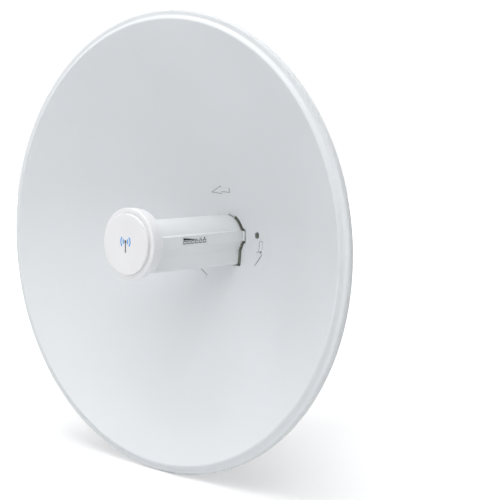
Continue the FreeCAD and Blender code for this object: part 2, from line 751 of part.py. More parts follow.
def reset_switch():
    """The tact switch that the reset button presses."""
    front = TUBE_BACK + 2.6 + RESET_TRAVEL + 0.2
    plunger = rod(1.2, front, front + 1.2, RESET_X, RESET_Z)
    body = box(RESET_X - 2.6, RESET_X + 2.6, front + 1.1, front + 5.0, BOARD_TOP, RESET_Z + 2.6)
    save("reset_switch", plunger.fuse(body).removeSplitter())


def radio_board():
    """The long radio board that lies along the box of the tube."""
    front = TUBE_FRONT - 12.0
    board = box(-BOARD_HALF_WIDTH, BOARD_HALF_WIDTH, TUBE_BACK + 1.8, front,
                BOARD_UNDERSIDE, BOARD_TOP)
    for x, depth in board_post_places():
        hole = Part.makeCylinder(SCREW_RADIUS + FIT_GAP, 5, at(x, depth, BOARD_UNDERSIDE - 2), Z)
        board = board.cut(hole)
    save("radio_board", board)


def board_screws():
    """Screws that hold the board to its posts."""
    screws = []
    for x, depth in board_post_places():
        shank = Part.makeCylinder(SCREW_RADIUS - 0.05, 6, at(x, depth, BOARD_TOP - 6), Z)
        head = Part.makeCylinder(2.2, 1.5, at(x, depth, BOARD_TOP), Z)
        screws.append(shank.fuse(head).removeSplitter())
    save("board_screws", Part.makeCompound(screws))


def on_board(x, deep, shallow, half_width, height):
    """A block that stands on the radio board."""
    return box(x - half_width, x + half_width, deep, shallow, BOARD_TOP, BOARD_TOP + height)


def shield_room():
    """Depth that the shields may reach forward to, clear of the front board screws."""
    return TUBE_FRONT - 33.4


def rf_shields():
    """Folded cans over the radio and the processor."""
    cans = []
    room = shield_room()
    for deep, shallow in ((0.59 * room, room), (6.0, 0.44 * room)):
        can = on_board(0, deep, shallow, 13.0, 3.4)
        inside = box(-12.6, 12.6, deep + 0.4, shallow - 0.4, BOARD_TOP - 1, BOARD_TOP + 3.0)
        can = can.cut(inside)
        can = can.makeFillet(0.8, [edge for edge in can.Edges if on_top(edge, BOARD_TOP + 3.4)])
        cans.append(can)
    save("rf_shields", Part.makeCompound(cans))


def on_top(edge, height):
    """True for an edge that lies at a height."""
    return all(abs(vertex.Point.z - height) < 0.01 for vertex in edge.Vertexes)


def board_components():
    """Magnetics, capacitors and the processor on the open part of the board."""
    blocks = [
        on_board(0, JACK_FRONT + 2, JACK_FRONT + 13, 7.5, 5.0),
        on_board(0, 12.0, 26.0, 7.0, 1.6),
        on_board(0, 0.7 * shield_room(), 0.8 * shield_room(), 5.0, 1.4),
    ]
    for x in (-13.0, 13.0):
        can = Part.makeCylinder(2.6, 5.5, at(x, JACK_FRONT + 6, BOARD_TOP), Z)
        blocks.append(can)
    save("board_components", Part.makeCompound(blocks))


def ethernet_jack():
    """The shielded network jack, open towards the rear."""
    half = JACK_WIDTH / 2
    shell = box(-half, half, JACK_MOUTH, JACK_FRONT, BOARD_TOP, BOARD_TOP + JACK_HEIGHT)
    floor = BOARD_TOP + 2.6
    port = box(-PORT_WIDTH / 2, PORT_WIDTH / 2, JACK_MOUTH - 1, JACK_FRONT - 5,
               floor, floor + PORT_HEIGHT)
    latch = box(-3.1, 3.1, JACK_MOUTH - 1, JACK_FRONT - 8, floor + PORT_HEIGHT - 1,
                floor + PORT_HEIGHT + 2.0)
    save("ethernet_jack", shell.cut(port).cut(latch))


def jack_contacts():
    """Eight sprung contacts on the floor of the jack."""
    contacts = []
    for index in range(8):
        x = (index - 3.5) * 1.02
        contacts.append(box(x - 0.2, x + 0.2, JACK_MOUTH + 4, JACK_FRONT - 5,
                            BOARD_TOP + 2.6, BOARD_TOP + 3.3))
    save("jack_contacts", Part.makeCompound(contacts))


def heat_spreader():
    """The metal plate under the radio, and the pad that joins it to the board."""
    half = BOARD_HALF_WIDTH - 2 * POST_RADIUS - 2.0
    pad_low = BOARD_UNDERSIDE - 1.5
    pad = box(-half, half, 0, 60, pad_low, BOARD_UNDERSIDE)
    plate = box(-half - 1, half + 1, -24, 62, pad_low - 2.0, pad_low)
    save("thermal_pad", pad)
    save("heat_spreader", plate)


def waveguide():
    """The round waveguide that runs from the probes to the cap."""
    guide = tube(GUIDE_RADIUS, GUIDE_RADIUS - GUIDE_WALL, -GUIDE_TAIL, GUIDE_MOUTH)
    for x, depth in probe_places():
        if x:
            guide = guide.cut(cross_rod(1.4, GUIDE_RADIUS - 3, GUIDE_RADIUS + 1, depth, 0))
        else:
            guide = guide.cut(Part.makeCylinder(1.4, 5, at(0, depth, -GUIDE_RADIUS - 1), Z))
    save("waveguide", guide)
    short = rod(GUIDE_RADIUS, -GUIDE_TAIL - 2.0, -GUIDE_TAIL)
    spigot = rod(GUIDE_RADIUS - GUIDE_WALL - FIT_GAP, -GUIDE_TAIL, -GUIDE_TAIL + 3)
    foot = box(-6, 6, -GUIDE_TAIL - 2.0, -GUIDE_TAIL, BOARD_TOP, -GUIDE_RADIUS + 2)
    save("waveguide_end", fused([short, spigot, foot]))


def probe_places():
    """Side of the guide, 0 for below, and depth of each probe."""
    return [(0, -GUIDE_TAIL + 14.0), (1, -GUIDE_TAIL + 26.0)]


def antenna_probes():
    """Two crossed probes in the waveguide, one for each polarisation."""
    (_, low_depth), (_, side_depth) = probe_places()
    foot = -GUIDE_RADIUS - 1.0
    upright = Part.makeCylinder(0.7, -BOARD_TOP - 8.0, at(0, low_depth, BOARD_TOP), Z)
    sleeve = Part.makeCylinder(1.3, foot - BOARD_TOP, at(0, low_depth, BOARD_TOP), Z)
    level = cross_rod(0.7, 8.0, GUIDE_RADIUS + 1.0, side_depth, 0)
    outer = GUIDE_RADIUS + 1.3
    bend = -0.55 * GUIDE_RADIUS
    inner = 0.86 * GUIDE_RADIUS
    riser = strap(outer - 0.9, outer, side_depth, bend, 0.8)
    lead = strap(inner, outer, side_depth, bend - 0.9, bend)
    drop = strap(inner, inner + 0.8, side_depth, BOARD_TOP, bend)
    probes = [fused([upright, sleeve]), fused([level, riser, lead, drop])]
    save("antenna_probes", Part.makeCompound(probes))


def strap(x_low, x_high, depth, z_low, z_high):
    """A short length of the flat lead to the side probe."""
    return box(x_low, x_high, depth - 1, depth + 1, z_low, z_high)


# ---------------------------------------------------------------- cap on the nose
def cap_base_ring():
    """The rear part of the drum, which joins the tube to the cap."""
    back_radius = SEAM_RADIUS - CAP_BACK_TAPER
    ring = turned([
        (0, SEAM - 0.6),
        (SEAM_RADIUS - CAP_WALL - 0.4, SEAM - 0.6),
        (SEAM_RADIUS - CAP_WALL - 0.4, SEAM + 2.0),
        (SEAM_RADIUS - CAP_WALL - 1.6, SEAM + 2.0),
        (SEAM_RADIUS - CAP_WALL - 1.6, SEAM - 2.0),
        (SEAM_RADIUS - CAP_WALL + 0.8, SEAM - 2.0),
        (SEAM_RADIUS - CAP_WALL + 0.8, SEAM - 0.6),
        (SEAM_RADIUS - 0.5, SEAM - 0.6),
        (back_radius, CAP_BACK + 0.8),
        (back_radius - 0.8, CAP_BACK),
        (0, CAP_BACK),
    ])
    ring = ring.cut(feed_prism(0.02, CAP_BACK - 1, TUBE_FRONT))
    ring = ring.cut(rod(GUIDE_RADIUS + FIT_GAP, CAP_BACK - 1, SEAM + 3))
    save("cap_base_ring", ring)


def cap_seal():
    """The rubber ring in the seam of the drum."""
    radius = SEAM_RADIUS - CAP_WALL - 0.4
    seal = tube(radius + 1.0, radius - 1.1, SEAM - 2.0, SEAM - 0.7)
    save("cap_seal", seal)


def radome_cap():
    """The front shell of the drum."""
    face = CAP_FACE
    inner_face = face - CAP_WALL
    shell = turned([
        (0, face),
        (CAP_RADIUS, face),
        (SEAM_RADIUS, SEAM),
        (SEAM_RADIUS - CAP_WALL, SEAM),
        (CAP_RADIUS - CAP_WALL, inner_face),
        (0, inner_face),
    ])
    rim = [edge for edge in shell.Edges if is_circle(edge, CAP_RADIUS, face)]
    shell = shell.makeFillet(CAP_ROUND, rim)
    seat = rod(DISC_RADIUS + 0.8, face - 0.6, face + 1)
    save("radome_cap", shell.cut(seat))


def is_circle(edge, radius, depth):
    """True for a circular edge of that radius at that depth."""
    curve = edge.Curve
    if not isinstance(curve, Part.Circle):
        return False
    here = VERTEX_Y - curve.Center.y
    return abs(curve.Radius - radius) < 0.01 and abs(here - depth) < 0.01


def cap_disc():
    """The raised disc on the cap's face."""
    disc = rod(DISC_RADIUS, CAP_FACE - 0.6, FEED_REACH)
    rim = [edge for edge in disc.Edges if is_circle(edge, DISC_RADIUS, FEED_REACH)]
    disc = disc.makeFillet(1.0, rim)
    low, high = FEED_REACH - EMBLEM_DEPTH, FEED_REACH + 1
    disc = disc.cut(Part.makeCompound(emblem_waves(low, high)))
    save("cap_disc", disc.cut(emblem_mast(low, high)))


def emblem_waves(low, high):
    """Two arcs to each side of the mast, the common sign for a radio transmitter."""
    arcs = []
    lift = FreeCAD.Vector(0, 0, EMBLEM_LIFT)
    for radius in (EMBLEM_SIZE * 0.55, EMBLEM_SIZE):
        ring = tube(radius, radius - EMBLEM_STROKE, low, high)
        for angle in (0.0, 180.0):
            arc = ring.common(wedge(angle, 42.0, low - 1, high + 1))
            arc.translate(lift)
            arcs.append(arc)
    return arcs


def emblem_mast(low, high):
    """A ball on a short post, at the middle of the arcs."""
    ball = rod(1.7, low, high, 0, EMBLEM_LIFT)
    post = box(-0.7, 0.7, low, high, EMBLEM_LIFT - 12.0, EMBLEM_LIFT)
    return ball.fuse(post).removeSplitter()


def emblem():
    """The two inlays of the emblem, standing just proud of the disc."""
    low, high = FEED_REACH - EMBLEM_DEPTH, FEED_REACH + EMBLEM_PROUD
    save("emblem_waves", Part.makeCompound(emblem_waves(low, high)))
    save("emblem_mast", emblem_mast(low, high))


def sub_reflector():
    """The shaped metal plate in the cap, and the clear cone that centres it."""
    plate_back = CAP_FACE - CAP_WALL - 2.4
    edge = CAP_RADIUS - CAP_WALL - 3.0
    plate = turned([
        (0, CAP_FACE - CAP_WALL - 0.1),
        (edge, CAP_FACE - CAP_WALL - 0.1),
        (edge, plate_back + 1.0),
        (edge - 3, plate_back),
        (8.0, plate_back),
        (0, plate_back - 3.0),
    ])
    save("sub_reflector", plate)
    bore = GUIDE_RADIUS - GUIDE_WALL - FIT_GAP
    mouth = GUIDE_MOUTH
    cone = turned([
        (3.0, mouth - 6.0),
        (bore, mouth - 6.0),
        (bore, mouth + 0.1),
        (GUIDE_RADIUS + 1.0, mouth + 0.1),
        (edge - 4, plate_back - 0.1),
        (9.0, plate_back - 0.1),
    ])
    save("feed_lens", cone)


# ---------------------------------------------------------------- hub
def hub_round(radius, deep, shallow):
    """The hub's drum shape: round in front, with flat sides where the ears stand."""
    body = rod(radius, deep, shallow)
    inset_by = HUB_RADIUS - radius
    if deep < FLATS_DEPTH:
        side = HUB_FLAT - inset_by
        for low in (side, -side - 2 * HUB_RADIUS):
            back = FLATS_DEPTH + inset_by
            body = body.cut(box(low, low + 2 * HUB_RADIUS, deep - 1, min(back, shallow + 1),
                                -2 * HUB_RADIUS, 2 * HUB_RADIUS))
    return body


def hub_flange():
    """The front plate, which lies against the curve of the dish."""
    count = 6
    radii = [HUB_RADIUS * step / count for step in range(count + 1)]
    front = [(radius, bowl_back(radius, FREE_GAP)) for radius in radii]
    back = [(radius, bowl_back(radius, FREE_GAP) - FLANGE_THICKNESS) for radius in reversed(radii)]
    return turned(front + back)


def hub_housing():
    """The moulded hub that carries the dish and receives the feed."""
    rim = bowl(HUB_RADIUS)
    shell = hub_round(HUB_RADIUS, COVER_FRONT, rim)
    shell = shell.cut(hub_round(HUB_RADIUS - HUB_WALL, COVER_FRONT - 1, rim + 1))
    front = bowl_layer(HUB_RADIUS + 5, -DISH_SHEET - FREE_GAP, 30)
    wide = feed_prism(SLEEVE_OUTER, -COLLAR_LENGTH - 4, -1)
    narrow = feed_prism(TUBE_WALL + 0.5, TUBE_BACK - 4, -COLLAR_LENGTH - 4)
    lug_deep, lug_shallow = lug_span()
    lugs = tube(HUB_RADIUS + LUG_REACH, HUB_RADIUS - 1, lug_deep, lug_shallow)
    parts = [shell, hub_flange(), wide, narrow]
    for angle in HOOK_ANGLES:
        parts.append(lugs.common(wedge(angle, 14.0, lug_deep - 1, lug_shallow + 1)))
    parts += [rod(DETENT_RADIUS + 3, DETENT_BACK - 2.5, -2, DETENT_X, DETENT_Z)]
    parts += [pivot_boss(side) for side in (1, -1)] + [lock_boss(side) for side in (1, -1)]
    parts += [cover_boss(x, z) for x, z in cover_screw_places()]
    parts += [latch_mount(side) for side in (1, -1)]
    hub = fused(parts)
    hub = hub.cut(front)
    hub = hub.cut(feed_prism(SLEEVE_INNER, -COLLAR_LENGTH - 0.5, 5))
    hub = hub.cut(feed_prism(0.5, TUBE_BACK - 6, 5))
    hub = hub.cut(rod(DETENT_RADIUS + PIN_GAP, DETENT_BACK, rim + 1, DETENT_X, DETENT_Z))
    for side in (1, -1):
        hub = hub.cut(latch_room(side))
    for radius, z in ((BOLT_RADIUS, 0.0), (LOCK_BOLT_RADIUS, LOCK_ARM)):
        bore = cross_rod(radius + THREAD_GAP, HUB_FLAT - 11, HUB_FLAT + 1, PIVOT_DEPTH, z)
        hub = hub.cut(bore).cut(mirrored(bore))
    for x, z in cover_screw_places():
        hub = hub.cut(rod(SCREW_RADIUS, COVER_FRONT - 1, COVER_FRONT + 10, x, z))
    save("hub_housing", hub)


def pivot_boss(side):
    """The thickened wall that takes a pivot bolt."""
    low = HUB_FLAT - 12.0
    boss = cross_rod(BOLT_RADIUS + 4, low, HUB_FLAT, PIVOT_DEPTH, 0)
    return boss if side > 0 else mirrored(boss)


def lock_boss(side):
    """The thickened wall that takes a tilt-lock bolt."""
    low = HUB_FLAT - 12.0
    boss = cross_rod(LOCK_BOLT_RADIUS + 3.5, low, HUB_FLAT, PIVOT_DEPTH, LOCK_ARM)
    boss = boss.common(hub_round(HUB_RADIUS - 0.5, COVER_FRONT, -1))
    return boss if side > 0 else mirrored(boss)


def cover_screw_places():
    """Where the rear cover is screwed on: x and z."""
    reach = HUB_RADIUS - HUB_WALL - 4.0
    return [(reach * math.cos(math.radians(angle)), reach * math.sin(math.radians(angle)))
            for angle in (66.0, 114.0, 246.0, 294.0)]


def cover_boss(x, z):
    """A post for one cover screw, joined to the hub's wall."""
    boss = rod(4.2, COVER_FRONT, COVER_FRONT + 16, x, z)
    return boss.common(rod(HUB_RADIUS - 0.5, COVER_FRONT - 1, COVER_FRONT + 17))


def latch_x():
    """Distance of the latch's pin from the middle plane."""
    return RAIL_X + SLEEVE_OUTER + LATCH_SPRING_LENGTH + 1.6


def latch_room(side):
    """The window in the hub and sleeve that one latch works in."""
    high = LATCH_HALF_HEIGHT + 0.6
    inner = RAIL_X + 0.6
    front = box(inner, latch_x() + 5.0, LATCH_PIN_DEPTH - 4, 4, -high, high)
    rear = box(latch_x() - 4.5, HUB_FLAT + 8, LATCH_BACK - 1.5, FLATS_DEPTH - 0.4, -high, high)
    middle = box(latch_x() - 4.5, latch_x() + 7.0, LATCH_BACK, LATCH_PIN_DEPTH + 4, -high, high)
    room = fused([front, rear, middle])
    return room if side > 0 else mirrored(room)


def latch_mount(side):
    """Two lugs above and below the latch that carry its pin."""
    high = LATCH_HALF_HEIGHT + 0.6
    x = latch_x()
    lugs = [box(RAIL_X + SLEEVE_OUTER - 3, x + 5, LATCH_PIN_DEPTH - 5, -3, low, low + 3.0)
            for low in (high, -high - 3.0)]
    mount = lugs[0].fuse(lugs[1]).cut(latch_pin_shape())
    return mount if side > 0 else mirrored(mount)


def latch_pin_shape():
    """The vertical pin of the right latch."""
    high = LATCH_HALF_HEIGHT + 3.4
    return Part.makeCylinder(LATCH_PIN_RADIUS, 2 * high, at(latch_x(), LATCH_PIN_DEPTH, -high), Z)


def release_latch():
    """The right latch, at rest with its hook beside the feed's rail."""
    x = latch_x()
    high = LATCH_HALF_HEIGHT
    beside = RAIL_X + OPENING_GAP
    hook = box(RAIL_X + FREE_GAP, beside + 3.2, LATCH_FRONT - 7.0, LATCH_FRONT, -high, high)
    nose_side = RAIL_X + NOTCH_REACH - LATCH_SWING
    nose = box(RAIL_X + FREE_GAP, nose_side, LATCH_FRONT - 1, LATCH_NOSE, -RAIL_TOP, RAIL_TOP)
    arm = box(beside - 0.8, x + 1.6, LATCH_PIN_DEPTH - 1, LATCH_FRONT - 2.0, -high, high)
    eye = Part.makeCylinder(3.2, 2 * high, at(x, LATCH_PIN_DEPTH, -high), Z)
    beam = box(x - 1.6, x + 2.4, LATCH_BACK, LATCH_PIN_DEPTH, -high, high)
    outer = HUB_FLAT + PADDLE_STAND
    pad = box(x, outer, LATCH_BACK, FLATS_DEPTH - 1.0, -high, high)
    edges = []
    for edge in pad.Edges:
        if all(abs(vertex.Point.x - outer) < 0.01 for vertex in edge.Vertexes):
            edges.append(edge)
    pad = pad.makeFillet(1.2, edges)
    latch = fused([hook, nose, arm, eye, beam, pad])
    bore = Part.makeCylinder(LATCH_PIN_RADIUS + PIN_GAP, 40, at(x, LATCH_PIN_DEPTH, -20), Z)
    latch = latch.cut(bore)
    for index in range(4):
        depth = LATCH_BACK + 2.6 + index * 2.4
        groove = Part.makeCylinder(0.5, 12, at(outer + 0.15, depth, -6), Z)
        latch = latch.cut(groove)
    save("release_latch_right", latch)
    save("release_latch_left", mirrored(latch))
    save("latch_pins", both_sides(latch_pin_shape()))
    spring = coil_spring(2.4, 0.3, LATCH_SPRING_LENGTH, 3)
    spring.rotate(ORIGIN, Z, -90)
    spring.translate(at(RAIL_X + SLEEVE_OUTER, LATCH_BACK + 4.0, 0))
    save("latch_spring_right", spring)
    save("latch_spring_left", mirrored(spring))


def feed_collar():
    """The dark guide inside the hub, with ribs that centre the feed."""
    back = -COLLAR_LENGTH
    collar = feed_prism(SLEEVE_INNER - FREE_GAP, back, 3)
    collar = collar.cut(feed_prism(COLLAR_INNER, back - 1, 4))
    ribs = [collar]
    reach = COLLAR_INNER + 0.4
    pitch = 5.0
    for index in range(29):
        angle = 20.0 + pitch * index
        rib = box(TUBE_RADIUS + COLLAR_INNER - RIB_REACH, TUBE_RADIUS + reach, back, 3,
                  -RIB_WIDTH / 2, RIB_WIDTH / 2)
        rib.rotate(at(0, 0, 0), Y, -angle)
        ribs.append(rib)
    for share in (0.3, 0.6, 0.9):
        rib = lean_rib(share, COLLAR_INNER - RIB_REACH, reach, back, 3, RIB_WIDTH)
        ribs += [rib, mirrored(rib)]
    collar = fused(ribs)
    collar = collar.cut(bowl_layer(HUB_RADIUS, -DISH_SHEET - FREE_GAP, 30))
    for side in (1, -1):
        collar = collar.cut(latch_room(side))
        high = LATCH_HALF_HEIGHT + 0.6
        notch = box(RAIL_X - 3, HUB_RADIUS, back + 4, 5, -high, high)
        collar = collar.cut(notch if side > 0 else mirrored(notch))
    save("feed_collar", collar)


def hub_rear_cover():
    """The hub's rear cover, its gasket, its screws and the cable grommet."""
    plate = hub_round(HUB_RADIUS, HUB_BACK, COVER_FRONT - 1.0)
    centre = cable_centre()
    plate = plate.cut(rod(PORT_RADIUS, HUB_BACK - 1, COVER_FRONT, 0, centre))
    gasket = hub_round(HUB_RADIUS - 1.0, COVER_FRONT - 1.0, COVER_FRONT)
    gasket = gasket.cut(hub_round(HUB_RADIUS - HUB_WALL + 0.2, COVER_FRONT - 2.0, COVER_FRONT + 1))
    screws = []
    for x, z in cover_screw_places():
        plate = plate.cut(rod(SCREW_RADIUS + FIT_GAP, HUB_BACK - 1, COVER_FRONT, x, z))
        shank = rod(SCREW_RADIUS - 0.05, HUB_BACK - 1, COVER_FRONT + 8, x, z)
        head = rod(2.6, HUB_BACK - 1.8, HUB_BACK, x, z)
        slot = box(x - 2, x + 2, HUB_BACK - 3, HUB_BACK - 1.1, z - 0.4, z + 0.4)
        screws.append(shank.fuse(head).removeSplitter().cut(slot))
    save("hub_rear_cover", plate)
    save("hub_gasket", gasket)
    save("cover_screws", Part.makeCompound(screws))
    web = rod(PORT_RADIUS - FIT_GAP, HUB_BACK - 1.2, COVER_FRONT + 0.2, 0, centre)
    lips = [rod(PORT_RADIUS + 1.8, HUB_BACK - 1.6, HUB_BACK, 0, centre),
            rod(PORT_RADIUS + 1.8, COVER_FRONT - 1.0, COVER_FRONT + 0.4, 0, centre)]
    grommet = fused([web] + lips)
    grommet = grommet.cut(rod(CABLE_RADIUS, HUB_BACK - 5, COVER_FRONT + 5, 0, centre))
    slit = box(0, PORT_RADIUS + 5, HUB_BACK - 5, COVER_FRONT + 5, centre - 0.2, centre + 0.2)
    grommet = grommet.cut(slit)
    save("cable_grommet", grommet)


def cable_centre():
    """Height of the cable port, level with the jack."""
    return BOARD_TOP + 2.6 + PORT_HEIGHT / 2


def detent():
    """The sprung pin behind the dish's lock hole, and its spring."""
    front = bowl_back(DETENT_X, 0.0) + DISH_SHEET * 0.75
    pin = rod(DETENT_NOSE, front - 4.0, front, DETENT_X, DETENT_Z)
    rounded = [edge for edge in pin.Edges if is_circle(edge, DETENT_NOSE, front)]
    pin = pin.makeFillet(0.6, rounded)
    shank = rod(DETENT_RADIUS, DETENT_BACK + DETENT_GAP, front - 3.0, DETENT_X, DETENT_Z)
    save("detent_pin", fused([pin, shank]))
    spring = coil_spring(DETENT_RADIUS - 0.8, 0.35, DETENT_GAP, 4)
    spring.translate(at(DETENT_X, DETENT_BACK + DETENT_GAP, DETENT_Z))
    save("detent_spring", spring)


def coil_spring(radius, wire, length, turns):
    """A compression spring along +Y from the origin, with its ends ground flat."""
    helix = Part.makeHelix((length - wire) / turns, length - wire, radius)
    profile = Part.Wire([Part.makeCircle(wire, FreeCAD.Vector(radius, 0, 0), Y)])
    coil = Part.Wire(helix.Edges).makePipeShell([profile], True, True)
    coil.rotate(ORIGIN, X, -90)
    coil.translate(FreeCAD.Vector(0, wire / 2, 0))
    inside = Part.makeCylinder(2 * radius, length - 0.1, FreeCAD.Vector(0, 0.05, 0), Y)
    return coil.common(inside)


# ---------------------------------------------------------------- pole mount
def ear_plate(corners):
    """A flat plate beside the hub from (depth, height) corners."""
    points = [at(EAR_INNER, depth, z) for depth, z in corners]
    return Part.Face(Part.makePolygon(points + points[:1])).extrude(X * BRACKET_SHEET)


def ear():
    """The right ear of the bracket, with its pivot hole and the slot for the lock bolt."""
    web_depth = VERTEX_Y - WEB_BACK
    spread = math.radians(EAR_SPREAD)
    rear = ear_plate([
        (web_depth, -EAR_BOTTOM),
        (PIVOT_DEPTH, -EAR_NOSE),
        (PIVOT_DEPTH, LOCK_REACH),
        (web_depth, LOCK_REACH),
    ])
    fan = ear_plate([
        (PIVOT_DEPTH - 1, 0),
        (PIVOT_DEPTH, 0),
        (PIVOT_DEPTH + 2 * LOCK_REACH * math.sin(spread), 2 * LOCK_REACH * math.cos(spread)),
        (PIVOT_DEPTH - 1, 2 * LOCK_REACH),
    ])
    fan = fan.common(cross_rod(LOCK_REACH, EAR_INNER, EAR_OUTER, PIVOT_DEPTH, 0))
    nose = cross_rod(EAR_NOSE, EAR_INNER, EAR_OUTER, PIVOT_DEPTH, 0)
    plate = fused([rear, fan, nose])
    hole = cross_rod(BOLT_RADIUS + FIT_GAP, EAR_INNER - 1, EAR_OUTER + 1, PIVOT_DEPTH, 0)
    return plate.cut(hole).cut(lock_slot())


def lock_slot():
    """The curved slot that the lock bolt travels in as the dish tilts."""
    half = LOCK_BOLT_RADIUS + 0.35
    outer = cross_rod(LOCK_ARM + half, EAR_INNER - 1, EAR_OUTER + 1, PIVOT_DEPTH, 0)
    inner = cross_rod(LOCK_ARM - half, EAR_INNER - 2, EAR_OUTER + 2, PIVOT_DEPTH, 0)
    spread = math.radians(TILT_LIMIT)
    reach = 2 * LOCK_ARM
    points = [
        at(EAR_INNER - 3, PIVOT_DEPTH, 0),
        at(EAR_INNER - 3, PIVOT_DEPTH - reach * math.sin(spread), reach * math.cos(spread)),
        at(EAR_INNER - 3, PIVOT_DEPTH + reach * math.sin(spread), reach * math.cos(spread)),
    ]
    slice_ = Part.Face(Part.makePolygon(points + points[:1])).extrude(X * 10)
    slot = outer.cut(inner).common(slice_)
    ends = []
    for turn in (spread, -spread):
        depth = PIVOT_DEPTH + LOCK_ARM * math.sin(turn)
        ends.append(cross_rod(half, EAR_INNER - 1, EAR_OUTER + 1, depth, LOCK_ARM * math.cos(turn)))
    return fused([slot] + ends)


def saddle(direction):
    """Two plates with a round seat for the pole; direction is -1 towards the dish."""
    far = direction * (POLE_RADIUS + SADDLE_DEPTH)
    near = direction * SADDLE_TIP
    half = POLE_RADIUS + 6.0
    plates = []
    for low in (-SADDLE_SPREAD / 2, SADDLE_SPREAD / 2 - SADDLE_PLATE):
        corner = FreeCAD.Vector(-half, min(far, near), low)
        plate = Part.makeBox(2 * half, abs(far - near), SADDLE_PLATE, corner)
        plates.append(plate.cut(Part.makeCylinder(POLE_RADIUS, 20, FreeCAD.Vector(0, 0, low - 5), Z)))
    return plates


def upright_plate(y_low, y_high, half_width, low, high, corner_radius):
    """A rounded plate that stands across the pole."""
    plate = Part.makeBox(2 * half_width, y_high - y_low, high - low,
                         FreeCAD.Vector(-half_width, y_low, low))
    upright = [edge for edge in plate.Edges
               if abs(edge.Vertexes[0].Point.y - edge.Vertexes[1].Point.y) > 0.1]
    return plate.makeFillet(corner_radius, upright)


def pole_bracket():
    """The folded bracket between the hub and the pole."""
    web = Part.makeBox(2 * EAR_OUTER, BRACKET_SHEET, LOCK_REACH + EAR_BOTTOM,
                       FreeCAD.Vector(-EAR_OUTER, WEB_BACK - BRACKET_SHEET, -EAR_BOTTOM))
    low_web = upright_plate(WEB_BACK - BRACKET_SHEET, WEB_BACK, POLE_RADIUS + 12,
                            -SADDLE_SPREAD / 2 - 4, 0, 6.0)
    right = ear()
    bracket = fused([web, low_web, right, mirrored(right)] + saddle(-1))
    for x in (BOLT_X, -BOLT_X):
        neck = Part.makeBox(2 * BOLT_RADIUS + 0.2, 20, 2 * BOLT_RADIUS + 0.2,
                            FreeCAD.Vector(x - BOLT_RADIUS - 0.1, WEB_BACK - 10, -BOLT_RADIUS - 0.1))
        bracket = bracket.cut(neck)
    save("pole_bracket", bracket)


def clamp_jaw():
    """The jaw that closes on the far side of the pole."""
    face = POLE_RADIUS + SADDLE_DEPTH
    plate = upright_plate(face, face + BRACKET_SHEET, BOLT_X + 12.0,
                          -SADDLE_SPREAD / 2, SADDLE_SPREAD / 2, 8.0)
    jaw = fused([plate] + saddle(1))
    for x in (BOLT_X, -BOLT_X):
        hole = Part.makeCylinder(BOLT_RADIUS + 0.5, 20, FreeCAD.Vector(x, face - 8, 0), Y)
        jaw = jaw.cut(hole)
    save("pole_clamp_jaw", jaw)
    nuts = [clamp_nut(x, face + BRACKET_SHEET) for x in (BOLT_X, -BOLT_X)]
    save("clamp_nuts", Part.makeCompound(nuts))


def hexagon(across, length, start, direction):
    """A hexagonal prism from a point along a direction."""
    corner = across / math.sqrt(3)
    points = []
    for index in range(7):
        angle = math.radians(60 * index)
        if direction == Y:
            step = FreeCAD.Vector(corner * math.cos(angle), 0, corner * math.sin(angle))
        else:
            step = FreeCAD.Vector(0, corner * math.cos(angle), corner * math.sin(angle))
        points.append(start + step)
    return Part.Face(Part.makePolygon(points)).extrude(direction * length)


def clamp_nut(x, y):
    """A flange nut on one clamp bolt."""
    flange = Part.makeCylinder(8.6, 1.6, FreeCAD.Vector(x, y, 0), Y)
    body = hexagon(13.0, 8.0, FreeCAD.Vector(x, y, 0), Y)
    bore = Part.makeCylinder(BOLT_RADIUS + PIN_GAP, 12, FreeCAD.Vector(x, y - 1, 0), Y)
    return flange.fuse(body).removeSplitter().cut(bore)


def clamp_bolts():
    """The two carriage bolts that draw the jaw to the bracket."""
    head_back = WEB_BACK - BRACKET_SHEET
    end = POLE_RADIUS + SADDLE_DEPTH + BRACKET_SHEET + CLAMP_TRAVEL_OUT + BOLT_TAIL
    bolts = []
    for x in (BOLT_X, -BOLT_X):
        shank = Part.makeCylinder(BOLT_RADIUS, end - head_back, FreeCAD.Vector(x, head_back, 0), Y)
        neck = Part.makeBox(2 * BOLT_RADIUS, BRACKET_SHEET, 2 * BOLT_RADIUS,
                            FreeCAD.Vector(x - BOLT_RADIUS, head_back, -BOLT_RADIUS))
        ball_radius = 11.0
        ball = Part.makeSphere(ball_radius, FreeCAD.Vector(x, head_back + ball_radius - 3.4, 0))
        slab = Part.makeCylinder(9.0, 4.0, FreeCAD.Vector(x, head_back - 4.0, 0), Y)
        bolts.append(fused([shank, neck, ball.common(slab)]))
    save("clamp_bolts", Part.makeCompound(bolts))


def side_bolt(radius, across, washer_radius, z):
    """A hex bolt and washer that hold one ear to the hub's right side."""
    washer = cross_rod(washer_radius, EAR_OUTER, EAR_OUTER + 1.4, PIVOT_DEPTH, z)
    washer = washer.cut(cross_rod(radius + 0.2, EAR_OUTER - 1, EAR_OUTER + 3, PIVOT_DEPTH, z))
    shank = cross_rod(radius, HUB_FLAT - 10.0, EAR_OUTER + 3, PIVOT_DEPTH, z)
    head = hexagon(across, 5.0, at(EAR_OUTER + 1.4, PIVOT_DEPTH, z), X)
    return washer, shank.fuse(head).removeSplitter()


def side_bolts():
    """Pivot and lock bolts with their washers, on both sides."""
    washer, bolt = side_bolt(BOLT_RADIUS, 13.0, 8.0, 0.0)
    save("pivot_washers", both_sides(washer))
    save("pivot_bolts", both_sides(bolt))
    washer, bolt = side_bolt(LOCK_BOLT_RADIUS, 10.0, 6.0, LOCK_ARM)
    save("tilt_lock_washers", both_sides(washer))
    save("tilt_lock_bolts", both_sides(bolt))


